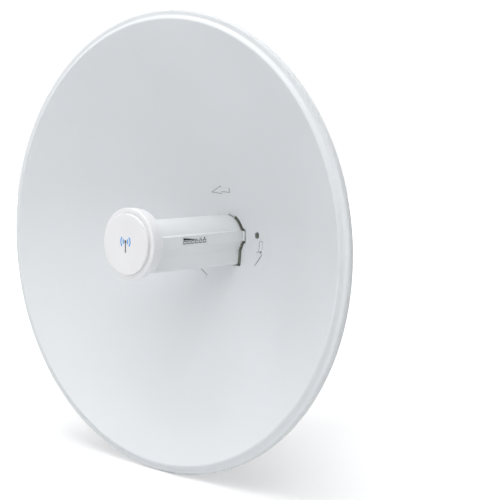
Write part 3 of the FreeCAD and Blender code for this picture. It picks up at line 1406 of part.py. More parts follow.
# ---------------------------------------------------------------- build
def build():
    """Write every node."""
    os.makedirs("parts", exist_ok=True)
    steps = [
        dish_reflector, dish_lock_ring, feed_tube, feed_seal, status_panel, light_pipes,
        led_board, end_cap, end_cap_screws, reset_button, reset_switch, radio_board,
        board_screws, rf_shields, board_components, ethernet_jack, jack_contacts, heat_spreader,
        waveguide, antenna_probes, cap_base_ring, cap_seal, radome_cap, cap_disc, emblem,
        sub_reflector, hub_housing, feed_collar, release_latch, hub_rear_cover, detent,
        pole_bracket, clamp_jaw, clamp_bolts, side_bolts,
    ]
    for step in steps:
        step()


build()
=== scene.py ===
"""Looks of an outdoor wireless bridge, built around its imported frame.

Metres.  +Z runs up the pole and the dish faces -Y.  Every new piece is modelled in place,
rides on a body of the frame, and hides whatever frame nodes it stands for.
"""

from __future__ import annotations

import json
import logging
import math
from dataclasses import dataclass, field
from enum import Enum
from typing import Any, Callable, Sequence

import bmesh
import bpy
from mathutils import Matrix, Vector

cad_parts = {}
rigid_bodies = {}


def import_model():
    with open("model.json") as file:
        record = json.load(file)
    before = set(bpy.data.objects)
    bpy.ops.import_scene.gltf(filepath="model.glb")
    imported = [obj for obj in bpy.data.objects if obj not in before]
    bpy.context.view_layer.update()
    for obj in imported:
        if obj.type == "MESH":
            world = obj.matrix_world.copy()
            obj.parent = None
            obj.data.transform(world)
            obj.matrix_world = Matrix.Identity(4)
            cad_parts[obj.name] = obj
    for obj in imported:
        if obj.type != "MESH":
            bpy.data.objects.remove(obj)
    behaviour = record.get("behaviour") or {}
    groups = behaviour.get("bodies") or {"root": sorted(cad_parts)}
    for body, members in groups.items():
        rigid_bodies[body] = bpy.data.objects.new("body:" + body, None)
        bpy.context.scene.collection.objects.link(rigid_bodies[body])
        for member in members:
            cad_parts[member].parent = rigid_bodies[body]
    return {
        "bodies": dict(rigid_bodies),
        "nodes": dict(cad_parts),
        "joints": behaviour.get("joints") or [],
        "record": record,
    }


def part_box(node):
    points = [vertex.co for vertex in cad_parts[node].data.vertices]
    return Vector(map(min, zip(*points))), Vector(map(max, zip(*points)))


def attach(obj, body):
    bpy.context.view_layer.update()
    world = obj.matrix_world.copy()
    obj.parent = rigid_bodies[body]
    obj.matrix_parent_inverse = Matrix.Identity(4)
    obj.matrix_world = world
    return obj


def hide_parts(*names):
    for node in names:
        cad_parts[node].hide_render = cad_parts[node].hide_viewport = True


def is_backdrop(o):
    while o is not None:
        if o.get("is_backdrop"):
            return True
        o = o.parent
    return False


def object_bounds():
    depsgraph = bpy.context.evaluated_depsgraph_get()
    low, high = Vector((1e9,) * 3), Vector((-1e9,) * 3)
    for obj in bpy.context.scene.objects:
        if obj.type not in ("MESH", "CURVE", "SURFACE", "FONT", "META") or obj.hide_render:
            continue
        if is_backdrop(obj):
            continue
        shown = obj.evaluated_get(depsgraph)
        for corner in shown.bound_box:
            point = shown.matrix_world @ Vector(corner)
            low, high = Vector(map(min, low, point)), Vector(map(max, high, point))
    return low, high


LOG = logging.getLogger("wireless_bridge")
MM = 0.001
Colour = tuple[float, float, float]
Loop = list[Vector]
DUST: Colour = (0.62, 0.60, 0.56)


class Body(str, Enum):
    """Bodies of the frame that new pieces ride on."""

    MOUNT = "mount"
    CLAMP_JAW = "clamp_jaw"
    REFLECTOR = "reflector"
    FEED = "feed"


class Slot(str, Enum):
    """The record's material slots."""

    DISH_PAINT = "dish_paint"
    WHITE_PLASTIC = "white_plastic"
    CAP_PLASTIC = "cap_plastic"
    HUB_PLASTIC = "hub_plastic"
    DARK_PLASTIC = "dark_plastic"
    BRACKET_STEEL = "bracket_steel"
    FASTENER_STEEL = "fastener_steel"
    SPRING_STEEL = "spring_steel"
    ALUMINIUM = "aluminium"
    RUBBER = "rubber"
    GROMMET_RUBBER = "grommet_rubber"
    SEAL_RUBBER = "seal_rubber"
    CIRCUIT_BOARD = "circuit_board"
    TINNED_STEEL = "tinned_steel"
    COMPONENT_BLACK = "component_black"
    BRASS = "brass"
    CLEAR_PLASTIC = "clear_plastic"
    LENS_PLASTIC = "lens_plastic"
    PANEL_GREY = "panel_grey"
    EMBLEM_BLUE = "emblem_blue"
    EMBLEM_BLACK = "emblem_black"
    PAD_GREY = "pad_grey"


# ---------------------------------------------------------------- shader graphs
class Graph:
    """A node tree, with short calls for adding nodes and joining them."""

    def __init__(self, tree: bpy.types.NodeTree) -> None:
        """Keep the tree.

        Args:
            tree: The material's, world's or group's node tree.
        """
        self.tree = tree

    def fill(self, socket: bpy.types.NodeSocket, value: Any) -> None:
        """Link a socket to another, or set its value.

        Args:
            socket: The input to fill.
            value: An output socket, or a constant.
        """
        if isinstance(value, bpy.types.NodeSocket):
            self.tree.links.new(value, socket)
        else:
            socket.default_value = value

    def node(self, kind: str, settings: dict[str, Any] | None = None, **inputs: Any) -> bpy.types.Node:
        """Add a node.

        Args:
            kind: The node's type name.
            settings: Attributes to set on it.
            **inputs: Its inputs by name, with an underscore for a space.

        Returns:
            The new node.
        """
        made = self.tree.nodes.new(kind)
        for name, value in (settings or {}).items():
            setattr(made, name, value)
        for name, value in inputs.items():
            self.fill(made.inputs[name.replace("_", " ")], value)
        return made

    def sum(self, operation: str, *values: Any) -> bpy.types.NodeSocket:
        """Add a Math node.

        Args:
            operation: The node's operation.
            *values: Its inputs in order.

        Returns:
            Its output.
        """
        made = self.node("ShaderNodeMath", {"operation": operation})
        for socket, value in zip(made.inputs, values):
            self.fill(socket, value)
        return made.outputs[0]

    def blend(self, factor: Any, first: Any, second: Any) -> bpy.types.NodeSocket:
        """Mix two colours.

        Args:
            factor: Share of the second colour.
            first: Colour at factor 0.
            second: Colour at factor 1.

        Returns:
            The mixed colour.
        """
        made = self.node("ShaderNodeMix", {"data_type": "RGBA"})
        for index, value in ((0, factor), (6, first), (7, second)):
            self.fill(made.inputs[index], value)
        return made.outputs[2]

    def spread(self, value: Any, low: float, high: float,
               start: float = 0.0, end: float = 1.0) -> bpy.types.NodeSocket:
        """Map a range onto another.

        Args:
            value: The value to map.
            low: Result at `start`.
            high: Result at `end`.
            start: Lower end of the incoming range.
            end: Upper end of the incoming range.

        Returns:
            The mapped value, clamped.
        """
        made = self.node("ShaderNodeMapRange", None, Value=value, From_Min=start, From_Max=end,
                         To_Min=low, To_Max=high)
        return made.outputs[0]

    def place(self) -> bpy.types.NodeSocket:
        """Coordinates in the frame, in metres."""
        return self.node("ShaderNodeTexCoord").outputs["Object"]


def rgba(colour: Colour, gain: float = 1.0) -> tuple[float, float, float, float]:
    """A colour with alpha, made lighter or darker.

    Args:
        colour: Linear red, green and blue.
        gain: What each is multiplied by.

    Returns:
        Four channels, none above 1.
    """
    red, green, blue = (min(1.0, channel * gain) for channel in colour)
    return (red, green, blue, 1.0)


class Effects:
    """The node groups that several materials share, each made once."""

    def __init__(self) -> None:
        """Build every group."""
        self.grain = self._grain()
        self.strokes = self._strokes()
        self.edges = self._edges()
        self.dust = self._dust()

    @staticmethod
    def _group(name: str, inputs: dict[str, float], outputs: dict[str, str]) -> tuple[Graph, Any, Any]:
        """Start a group with its sockets.

        Args:
            name: The group's name.
            inputs: Default of each number input.
            outputs: Socket type of each output.

        Returns:
            The graph, the group's input node and its output node.
        """
        tree = bpy.data.node_groups.new(name, "ShaderNodeTree")
        for key, value in inputs.items():
            socket = tree.interface.new_socket(name=key, in_out="INPUT", socket_type="NodeSocketFloat")
            socket.default_value = value
        for key, kind in outputs.items():
            tree.interface.new_socket(name=key, in_out="OUTPUT", socket_type=kind)
        graph = Graph(tree)
        return graph, graph.node("NodeGroupInput"), graph.node("NodeGroupOutput")

    def _grain(self) -> bpy.types.NodeTree:
        """Fine moulded or sprayed texture, with a slow drift in tone."""
        graph, given, out = self._group(
            "moulded_grain", {"Size": 0.0005, "Drift Size": 0.06},
            {"Height": "NodeSocketFloat", "Tone": "NodeSocketFloat"})
        place = graph.place()
        fine = graph.node("ShaderNodeTexNoise", None, Vector=place, Detail=3.0, Roughness=0.55,
                          Scale=graph.sum("DIVIDE", 1.0, given.outputs["Size"]))
        slow = graph.node("ShaderNodeTexNoise", None, Vector=place, Detail=2.0,
                          Scale=graph.sum("DIVIDE", 1.0, given.outputs["Drift Size"]))
        graph.fill(out.inputs["Height"], fine.outputs[0])
        graph.fill(out.inputs["Tone"], graph.spread(slow.outputs[0], 0.0, 1.0, 0.3, 0.7))
        return graph.tree

    def _strokes(self) -> bpy.types.NodeTree:
        """Fine lines drawn out along Z, with scattered crystals of plating."""
        graph, given, out = self._group(
            "rolled_strokes", {"Size": 0.0004, "Crystal": 0.004},
            {"Height": "NodeSocketFloat", "Tone": "NodeSocketFloat", "Crystals": "NodeSocketFloat"})
        place = graph.place()
        drawn = graph.node("ShaderNodeMapping", None, Vector=place, Scale=(1.0, 1.0, 0.06))
        lines = graph.node("ShaderNodeTexNoise", None, Vector=drawn.outputs[0], Detail=4.0,
                           Scale=graph.sum("DIVIDE", 1.0, given.outputs["Size"]))
        cells = graph.node("ShaderNodeTexVoronoi", None, Vector=place,
                           Scale=graph.sum("DIVIDE", 1.0, given.outputs["Crystal"]))
        grey = graph.node("ShaderNodeSeparateColor", None, Color=cells.outputs["Color"])
        slow = graph.node("ShaderNodeTexNoise", None, Vector=place, Scale=28.0, Detail=3.0)
        graph.fill(out.inputs["Height"], lines.outputs[0])
        graph.fill(out.inputs["Crystals"], grey.outputs[0])
        graph.fill(out.inputs["Tone"], graph.spread(slow.outputs[0], 0.0, 1.0, 0.35, 0.65))
        return graph.tree

    def _edges(self) -> bpy.types.NodeTree:
        """Rounded normals, and a broken mask along outside and inside edges, where colour is lightened as
        wear and painted highlight.
        """
        graph, given, out = self._group(
            "soft_edges", {"Radius": 0.0005, "Breakup": 0.004},
            {"Normal": "NodeSocketVector", "Mask": "NodeSocketFloat"})
        bevel = graph.node("ShaderNodeBevel", {"samples": 6}, Radius=given.outputs["Radius"])
        flat = graph.node("ShaderNodeNewGeometry")
        dot = graph.node("ShaderNodeVectorMath", {"operation": "DOT_PRODUCT"})
        graph.fill(dot.inputs[0], bevel.outputs[0])
        graph.fill(dot.inputs[1], flat.outputs["Normal"])
        turned = graph.spread(dot.outputs["Value"], 1.0, 0.0, 0.86, 0.995)
        noise = graph.node("ShaderNodeTexNoise", None, Vector=graph.place(), Detail=4.0,
                           Scale=graph.sum("DIVIDE", 1.0, given.outputs["Breakup"]))
        broken = graph.spread(noise.outputs[0], 0.2, 1.0, 0.4, 0.62)
        graph.fill(out.inputs["Normal"], bevel.outputs[0])
        graph.fill(out.inputs["Mask"], graph.sum("MULTIPLY", turned, broken))
        return graph.tree

    def _dust(self) -> bpy.types.NodeTree:
        """A thin settled film on what faces up."""
        graph, given, out = self._group("settled_dust", {"Size": 0.02}, {"Mask": "NodeSocketFloat"})
        facing = graph.node("ShaderNodeSeparateXYZ", None,
                            Vector=graph.node("ShaderNodeTexCoord").outputs["Normal"])
        up = graph.spread(facing.outputs[2], 0.0, 1.0, 0.55, 1.0)
        noise = graph.node("ShaderNodeTexNoise", None, Vector=graph.place(), Detail=6.0,
                           Scale=graph.sum("DIVIDE", 1.0, given.outputs["Size"]))
        patches = graph.spread(noise.outputs[0], 0.2, 1.0, 0.35, 0.7)
        graph.fill(out.inputs["Mask"], graph.sum("MULTIPLY", up, patches))
        return graph.tree


@dataclass(frozen=True)
class Finish:
    """What every finish has: its colour, sheen and how its edges catch the light."""

    colour: Colour
    rough: float = 0.45
    rough_spread: float = 0.08
    tone_spread: float = 0.02
    edge_radius: float = 0.4 * MM
    # Gain of the colour at edges: lighter edges are partly wear, partly a painted highlight.
    edge_wear_and_highlight_gain: float = 1.04
    dusty: float = 0.1

    def material(self, name: str, effects: Effects) -> bpy.types.Material:
        """Make the material.

        Args:
            name: Its name.
            effects: The shared node groups.

        Returns:
            The material, with its nodes.
        """
        made = bpy.data.materials.new(name)
        made.use_nodes = True
        graph = Graph(made.node_tree)
        shader = made.node_tree.nodes["Principled BSDF"]
        made.diffuse_color = rgba(self.colour)
        edges = self.group(graph, effects.edges, Radius=self.edge_radius)
        dust = self.group(graph, effects.dust)
        self.dress(graph, shader, effects, edges, dust)
        return made

    @staticmethod
    def group(graph: Graph, tree: bpy.types.NodeTree, **inputs: Any) -> bpy.types.Node:
        """Place one of the shared groups.

        Args:
            graph: The material's graph.
            tree: The group.
            **inputs: Its values by name.

        Returns:
            The group node.
        """
        made = graph.node("ShaderNodeGroup")
        made.node_tree = tree
        for name, value in inputs.items():
            graph.fill(made.inputs[name.replace("_", " ")], value)
        return made

    def base(self, graph: Graph, tone: Any, edges: bpy.types.Node,
             dust: bpy.types.Node) -> bpy.types.NodeSocket:
        """The colour with its drift, its edges lightened as wear and painted highlight, and its dust.

        Args:
            graph: The material's graph.
            tone: The slow drift, from 0 to 1.
            edges: The edge group's node.
            dust: The dust group's node.

        Returns:
            The varying colour.
        """
        spread = self.tone_spread
        body = graph.blend(tone, rgba(self.colour, 1.0 - spread), rgba(self.colour, 1.0 + spread))
        # Wear and painted highlight: edges lightened towards the colour times the edge gain.
        worn_and_highlit = graph.blend(edges.outputs["Mask"], body, rgba(self.colour, self.edge_wear_and_highlight_gain))
        film = graph.sum("MULTIPLY", dust.outputs["Mask"], self.dusty)
        return graph.blend(film, worn_and_highlit, rgba(DUST))

    def bumped(self, graph: Graph, height: Any, depth: float, strength: float,
               edges: bpy.types.Node) -> bpy.types.NodeSocket:
        """A bumped normal on top of the rounded edges.

        Args:
            graph: The material's graph.
            height: The varying height.
            depth: Its reach in metres.
            strength: Share of it that shows.
            edges: The edge group's node.

        Returns:
            The normal.
        """
        bump = graph.node("ShaderNodeBump", None, Height=height, Distance=depth, Strength=strength,
                          Normal=edges.outputs["Normal"])
        return bump.outputs[0]

    def dress(self, graph: Graph, shader: bpy.types.Node, effects: Effects,
              edges: bpy.types.Node, dust: bpy.types.Node) -> None:
        """Fill the shader's sockets.

        Args:
            graph: The material's graph.
            shader: Its Principled shader.
            effects: The shared node groups.
            edges: The edge group's node.
            dust: The dust group's node.
        """
        raise NotImplementedError


@dataclass(frozen=True)
class Moulded(Finish):
    """A moulded plastic or rubber with a fine texture."""

    grain: float = 0.45 * MM
    grain_depth: float = 0.02 * MM
    grain_strength: float = 0.35
    sheen: float = 0.0
    specular: float = 0.5

    def dress(self, graph: Graph, shader: bpy.types.Node, effects: Effects,
              edges: bpy.types.Node, dust: bpy.types.Node) -> None:
        """Fill the shader's sockets; see Finish.dress."""
        grain = self.group(graph, effects.grain, Size=self.grain)
        tone = grain.outputs["Tone"]
        graph.fill(shader.inputs["Base Color"], self.base(graph, tone, edges, dust))
        low, high = self.rough - self.rough_spread / 2, self.rough + self.rough_spread / 2
        graph.fill(shader.inputs["Roughness"], graph.spread(grain.outputs["Height"], low, high, 0.3, 0.7))
        graph.fill(shader.inputs["Normal"], self.bumped(
            graph, grain.outputs["Height"], self.grain_depth, self.grain_strength, edges))
        shader.inputs["Sheen Weight"].default_value = self.sheen
        shader.inputs["Specular IOR Level"].default_value = self.specular


@dataclass(frozen=True)
class PowderCoat(Finish):
    """Baked powder paint on sheet metal: a soft ripple under a satin skin."""

    ripple: float = 1.6 * MM
    ripple_depth: float = 0.03 * MM
    coat: float = 0.12
    coat_rough: float = 0.32

    def dress(self, graph: Graph, shader: bpy.types.Node, effects: Effects,
              edges: bpy.types.Node, dust: bpy.types.Node) -> None:
        """Fill the shader's sockets; see Finish.dress."""
        skin = self.group(graph, effects.grain, Size=self.ripple, Drift_Size=0.16)
        graph.fill(shader.inputs["Base Color"], self.base(graph, skin.outputs["Tone"], edges, dust))
        low, high = self.rough - self.rough_spread / 2, self.rough + self.rough_spread / 2
        graph.fill(shader.inputs["Roughness"], graph.spread(skin.outputs["Tone"], low, high))
        graph.fill(shader.inputs["Normal"],
                   self.bumped(graph, skin.outputs["Height"], self.ripple_depth, 0.3, edges))
        shader.inputs["Coat Weight"].default_value = self.coat
        shader.inputs["Coat Roughness"].default_value = self.coat_rough


@dataclass(frozen=True)
class Metal(Finish):
    """Rolled, turned or plated metal."""

    stroke: float = 0.35 * MM
    crystal: float = 4.0 * MM
    crystals: float = 0.0
    stroke_depth: float = 0.012 * MM

    def dress(self, graph: Graph, shader: bpy.types.Node, effects: Effects,
              edges: bpy.types.Node, dust: bpy.types.Node) -> None:
        """Fill the shader's sockets; see Finish.dress."""
        marks = self.group(graph, effects.strokes, Size=self.stroke, Crystal=self.crystal)
        plated = graph.spread(marks.outputs["Crystals"], 0.0, self.crystals)
        drift = graph.sum("ADD", graph.sum("MULTIPLY", marks.outputs["Tone"], 1.0 - self.crystals), plated)
        graph.fill(shader.inputs["Base Color"], self.base(graph, drift, edges, dust))
        low, high = self.rough - self.rough_spread, self.rough + self.rough_spread
        graph.fill(shader.inputs["Roughness"], graph.spread(drift, low, high))
        graph.fill(shader.inputs["Normal"],
                   self.bumped(graph, marks.outputs["Height"], self.stroke_depth, 0.3, edges))
        shader.inputs["Metallic"].default_value = 1.0


@dataclass(frozen=True)
class SolderMask(Finish):
    """A circuit board: green mask with tracks and tinned pads showing through it."""

    track: Colour = (0.05, 0.30, 0.13)
    track_size: float = 1.6 * MM

    def dress(self, graph: Graph, shader: bpy.types.Node, effects: Effects,
              edges: bpy.types.Node, dust: bpy.types.Node) -> None:
        """Fill the shader's sockets; see Finish.dress."""
        grain = self.group(graph, effects.grain, Size=0.3 * MM)
        body = self.base(graph, grain.outputs["Tone"], edges, dust)
        cells = graph.node("ShaderNodeTexVoronoi", {"distance": "MANHATTAN", "feature": "F2"},
                           Vector=graph.place(), Scale=1.0 / self.track_size, Randomness=0.35)
        lines = graph.spread(cells.outputs["Distance"], 1.0, 0.0, 0.86, 0.9)
        graph.fill(shader.inputs["Base Color"], graph.blend(lines, body, rgba(self.track)))
        graph.fill(shader.inputs["Roughness"], graph.spread(grain.outputs["Tone"], 0.28, 0.36))
        graph.fill(shader.inputs["Normal"], self.bumped(graph, lines, 0.03 * MM, 0.4, edges))


@dataclass(frozen=True)
class Clear(Finish):
    """A clear moulding that has been frosted to spread its light."""

    through: float = 0.2
    bend: float = 1.49

    def dress(self, graph: Graph, shader: bpy.types.Node, effects: Effects,
              edges: bpy.types.Node, dust: bpy.types.Node) -> None:
        """Fill the shader's sockets; see Finish.dress."""
        grain = self.group(graph, effects.grain, Size=0.8 * MM)
        graph.fill(shader.inputs["Base Color"], self.base(graph, grain.outputs["Tone"], edges, dust))
        graph.fill(shader.inputs["Roughness"], graph.spread(grain.outputs["Height"], 0.10, 0.2, 0.3, 0.7))
        graph.fill(shader.inputs["Normal"],
                   self.bumped(graph, grain.outputs["Height"], 0.004 * MM, 0.2, edges))
        shader.inputs["Transmission Weight"].default_value = self.through
        shader.inputs["IOR"].default_value = self.bend


FINISHES: dict[Slot, Finish] = {
    Slot.DISH_PAINT: PowderCoat((0.735, 0.760, 0.780), rough=0.46, edge_wear_and_highlight_gain=1.05, dusty=0.05),
    Slot.WHITE_PLASTIC: Moulded((0.790, 0.805, 0.812), rough=0.44, dusty=0.04),
    Slot.CAP_PLASTIC: Moulded((0.835, 0.835, 0.852), rough=0.42, dusty=0.03),
    Slot.HUB_PLASTIC: Moulded((0.690, 0.710, 0.720), rough=0.52, grain=0.8 * MM,
                              grain_depth=0.05 * MM, dusty=0.12),
    Slot.DARK_PLASTIC: Moulded((0.105, 0.115, 0.090), rough=0.5, edge_wear_and_highlight_gain=1.5, dusty=0.06),
    Slot.BRACKET_STEEL: Metal((0.56, 0.58, 0.60), rough=0.38, tone_spread=0.16, crystals=0.6,
                              edge_wear_and_highlight_gain=1.25, dusty=0.12),
    Slot.FASTENER_STEEL: Metal((0.62, 0.62, 0.61), rough=0.27, tone_spread=0.08, edge_wear_and_highlight_gain=1.2,
                               edge_radius=0.15 * MM),
    Slot.SPRING_STEEL: Metal((0.42, 0.42, 0.43), rough=0.3, tone_spread=0.1, edge_radius=0.05 * MM),
    Slot.ALUMINIUM: Metal((0.72, 0.73, 0.74), rough=0.34, tone_spread=0.05),
    Slot.RUBBER: Moulded((0.030, 0.030, 0.031), rough=0.72, rough_spread=0.12, sheen=0.2, edge_wear_and_highlight_gain=1.6),
    Slot.GROMMET_RUBBER: Moulded((0.060, 0.062, 0.066), rough=0.68, rough_spread=0.14, sheen=0.25,
                                 edge_wear_and_highlight_gain=1.5),
    Slot.SEAL_RUBBER: Moulded((0.150, 0.162, 0.130), rough=0.6, sheen=0.1, edge_wear_and_highlight_gain=1.5,
                              edge_radius=0.15 * MM),
    Slot.CIRCUIT_BOARD: SolderMask((0.012, 0.115, 0.045), rough=0.3, tone_spread=0.1),
    Slot.TINNED_STEEL: Metal((0.66, 0.66, 0.65), rough=0.3, tone_spread=0.08),
    Slot.COMPONENT_BLACK: Moulded((0.022, 0.022, 0.024), rough=0.42, edge_wear_and_highlight_gain=1.6),
    Slot.BRASS: Metal((0.80, 0.58, 0.24), rough=0.24, tone_spread=0.06, edge_radius=0.05 * MM),
    Slot.CLEAR_PLASTIC: Clear((0.80, 0.84, 0.86), edge_radius=0.1 * MM),
    Slot.LENS_PLASTIC: Moulded((0.78, 0.78, 0.73), rough=0.36),
    Slot.PANEL_GREY: Moulded((0.735, 0.750, 0.752), rough=0.38, grain=0.3 * MM, edge_radius=0.1 * MM,
                             dusty=0.02),
    Slot.EMBLEM_BLUE: Moulded((0.012, 0.30, 0.76), rough=0.25, tone_spread=0.06, grain_depth=0.004 * MM,
                              edge_radius=0.06 * MM, dusty=0.0),
    Slot.EMBLEM_BLACK: Moulded((0.020, 0.021, 0.023), rough=0.25, tone_spread=0.1,
                               grain_depth=0.004 * MM, edge_radius=0.06 * MM, dusty=0.0),
    Slot.PAD_GREY: Moulded((0.34, 0.40, 0.46), rough=0.6, grain=0.6 * MM),
}


class Wardrobe:
    """Makes each finish's material once and puts it on pieces and nodes."""

    def __init__(self) -> None:
        """Build the shared groups and every material."""
        effects = Effects()
        self.materials = {slot: finish.material(slot.value, effects) for slot, finish in FINISHES.items()}
        self.materials_by_name = {slot.value: made for slot, made in self.materials.items()}

    def dress_nodes(self, frame: dict[str, Any]) -> None:
        """Put each node's finish on it.
        """
        for part in frame["record"]["subparts"]:
            node = frame["nodes"][part["node"]]
            material = self.materials_by_name[part["material_slot"]]
            if not node.data.materials:
                node.data.materials.append(material)
            for index in range(len(node.data.materials)):
                node.data.materials[index] = material
            LOG.info("node %s wears %s", node.name, material.name)


# ---------------------------------------------------------------- mesh making
class Sculpt:
    """Collects lofts and prisms into one mesh."""

    def __init__(self) -> None:
        """Start empty."""
        self.mesh = bmesh.new()

    def loft(self, loops: Sequence[Loop], closed: bool = False) -> None:
        """Skin a row of loops that have the same number of points.

        Args:
            loops: The loops in order.
            closed: Join the last loop to the first; otherwise both ends are capped.
        """
        rows = [[self.mesh.verts.new(point) for point in loop] for loop in loops]
        pairs = list(zip(rows, rows[1:]))
        if closed:
            pairs.append((rows[-1], rows[0]))
        count = len(rows[0])
        for here, there in pairs:
            for index in range(count):
                after = (index + 1) % count
                self.mesh.faces.new((here[index], here[after], there[after], there[index]))
        if not closed:
            self.mesh.faces.new(list(reversed(rows[0])))
            self.mesh.faces.new(rows[-1])

    def ribbon(self, inner: Loop, outer: Loop, lift: Vector) -> None:
        """A flat closed band between two loops, with a thickness.

        Args:
            inner: Points of one border.
            outer: Points of the other border.
            lift: Step from the band's foot to its top.
        """
        raised_outer = [point + lift for point in outer]
        raised_inner = [point + lift for point in inner]
        self.loft([inner, outer, raised_outer, raised_inner], closed=True)

    def finish(self, name: str, body: Body, slot: Slot, wardrobe: Wardrobe,
               stands_for: Sequence[str] = (), smooth_below: float = 40.0) -> bpy.types.Object:
        """Turn what was collected into a piece of the object.

        Args:
            name: The piece's name.
            body: The body it rides on.
            slot: The material slot it wears.
            wardrobe: Where its material comes from.
            stands_for: The frame's nodes that it replaces.
            smooth_below: Edges that turn by less than this, in degrees, are smooth.

        Returns:
            The piece.
        """
        bmesh.ops.recalc_face_normals(self.mesh, faces=self.mesh.faces)
        limit = math.radians(smooth_below)
        for edge in self.mesh.edges:
            edge.smooth = len(edge.link_faces) == 2 and edge.calc_face_angle(0.0) < limit
        for face in self.mesh.faces:
            face.smooth = True
        data = bpy.data.meshes.new(name)
        self.mesh.to_mesh(data)
        self.mesh.free()
        data.materials.append(wardrobe.materials[slot])
        piece = bpy.data.objects.new(name, data)
        bpy.context.scene.collection.objects.link(piece)
        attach(piece, body.value)
        if stands_for:
            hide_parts(*stands_for)
        LOG.info("piece %s: %d faces, rides on %s", name, len(data.polygons), body.value)
        return piece


@dataclass(frozen=True)
class Axis:
    """A line to build round: a point on it, its direction and what is square to it."""

    origin: Vector
    along: Vector
    across: Vector

    def point(self, radius: float, angle: float, distance: float) -> Vector:
        """A point at a radius and angle round the axis, some way along it.

        Args:
            radius: Distance from the axis.
            angle: Turn from the axis's first square direction, in radians.
            distance: Distance along the axis.

        Returns:
            The point in the frame.
        """
        side = self.along.cross(self.across)
        out = self.across * math.cos(angle) + side * math.sin(angle)
        return self.origin + self.along * distance + out * radius

    def ring(self, radius: float | Callable[[float], float], distance: float, count: int = 72) -> Loop:
        """A ring of points, round or following a radius that changes with the angle.

        Args:
            radius: The radius, or what gives it for an angle.
            distance: Distance along the axis.
            count: Number of points.

        Returns:
            The ring.
        """
        found = []
        for index in range(count):
            angle = 2 * math.pi * index / count
            reach = radius(angle) if callable(radius) else radius
            found.append(self.point(reach, angle, distance))
        return found


def hexagon(across: float) -> Callable[[float], float]:
    """The radius of a hexagon at each angle.

    Args:
        across: Distance between its flats.

    Returns:
        A function from the angle to the radius.
    """
    def radius(angle: float) -> float:
        """Radius at one angle."""
        turn = (angle % (math.pi / 3)) - math.pi / 6
        return across / 2 / math.cos(turn)

    return radius


def within(first: Callable[[float], float], limit: float) -> Callable[[float], float]:
    """A radius that is held inside a circle, as a chamfer does.

    Args:
        first: The uncut radius for an angle.
        limit: The circle's radius.

    Returns:
        A function from the angle to the smaller radius.
    """
    return lambda angle: min(first(angle), limit)


def chamfered_hex(axis: Axis, across: float, start: float, end: float) -> list[Loop]:
    """Rings of a hexagonal body whose far corners are turned off at 30 degrees.

    Args:
        axis: The body's axis.
        across: Distance between flats.
        start: Where it begins along the axis.
        end: Where it ends.

    Returns:
        The rings from start to end.
    """
    shape = hexagon(across)
    step = 1.0 if end > start else -1.0
    corner = across / math.sqrt(3)
    drop = (corner - 0.95 * across / 2) * math.tan(math.radians(30))
    rings = [axis.ring(shape, start)]
    steps = 5
    for index in range(steps + 1):
        share = index / steps
        limit = corner - (corner - 0.95 * across / 2) * share
        rings.append(axis.ring(within(shape, limit), end - step * drop * (1 - share)))
    return rings


def thread_rings(axis: Axis, radius: float, pitch: float, start: float, end: float) -> list[Loop]:
    """Rings of a screw thread that runs out into a chamfered end.

    Args:
        axis: The screw's axis.
        radius: Outside radius.
        pitch: Advance in one turn.
        start: Where the thread begins along the axis.
        end: Where the screw ends.

    Returns:
        The rings from start to end.
    """
    rows_per_turn = 6
    depth = 0.54 * pitch
    rows = round((end - start) / pitch * rows_per_turn)
    rings = []
    for row in range(rows + 1):
        distance = start + (end - start) * row / rows
        fade = min(1.0, (distance - start) / (1.5 * pitch))
        nose = max(0.0, distance - (end - 0.9 * pitch))

        def groove(angle: float, here: float = distance, share: float = fade, cut: float = nose) -> float:
            """Radius at one angle of this row."""
            phase = (here / pitch + angle / (2 * math.pi)) % 1.0
            sunk = depth * share * (1.0 - abs(2.0 * phase - 1.0))
            return min(radius - sunk, radius - cut * 0.8)

        rings.append(axis.ring(groove, distance, 36))
    return rings


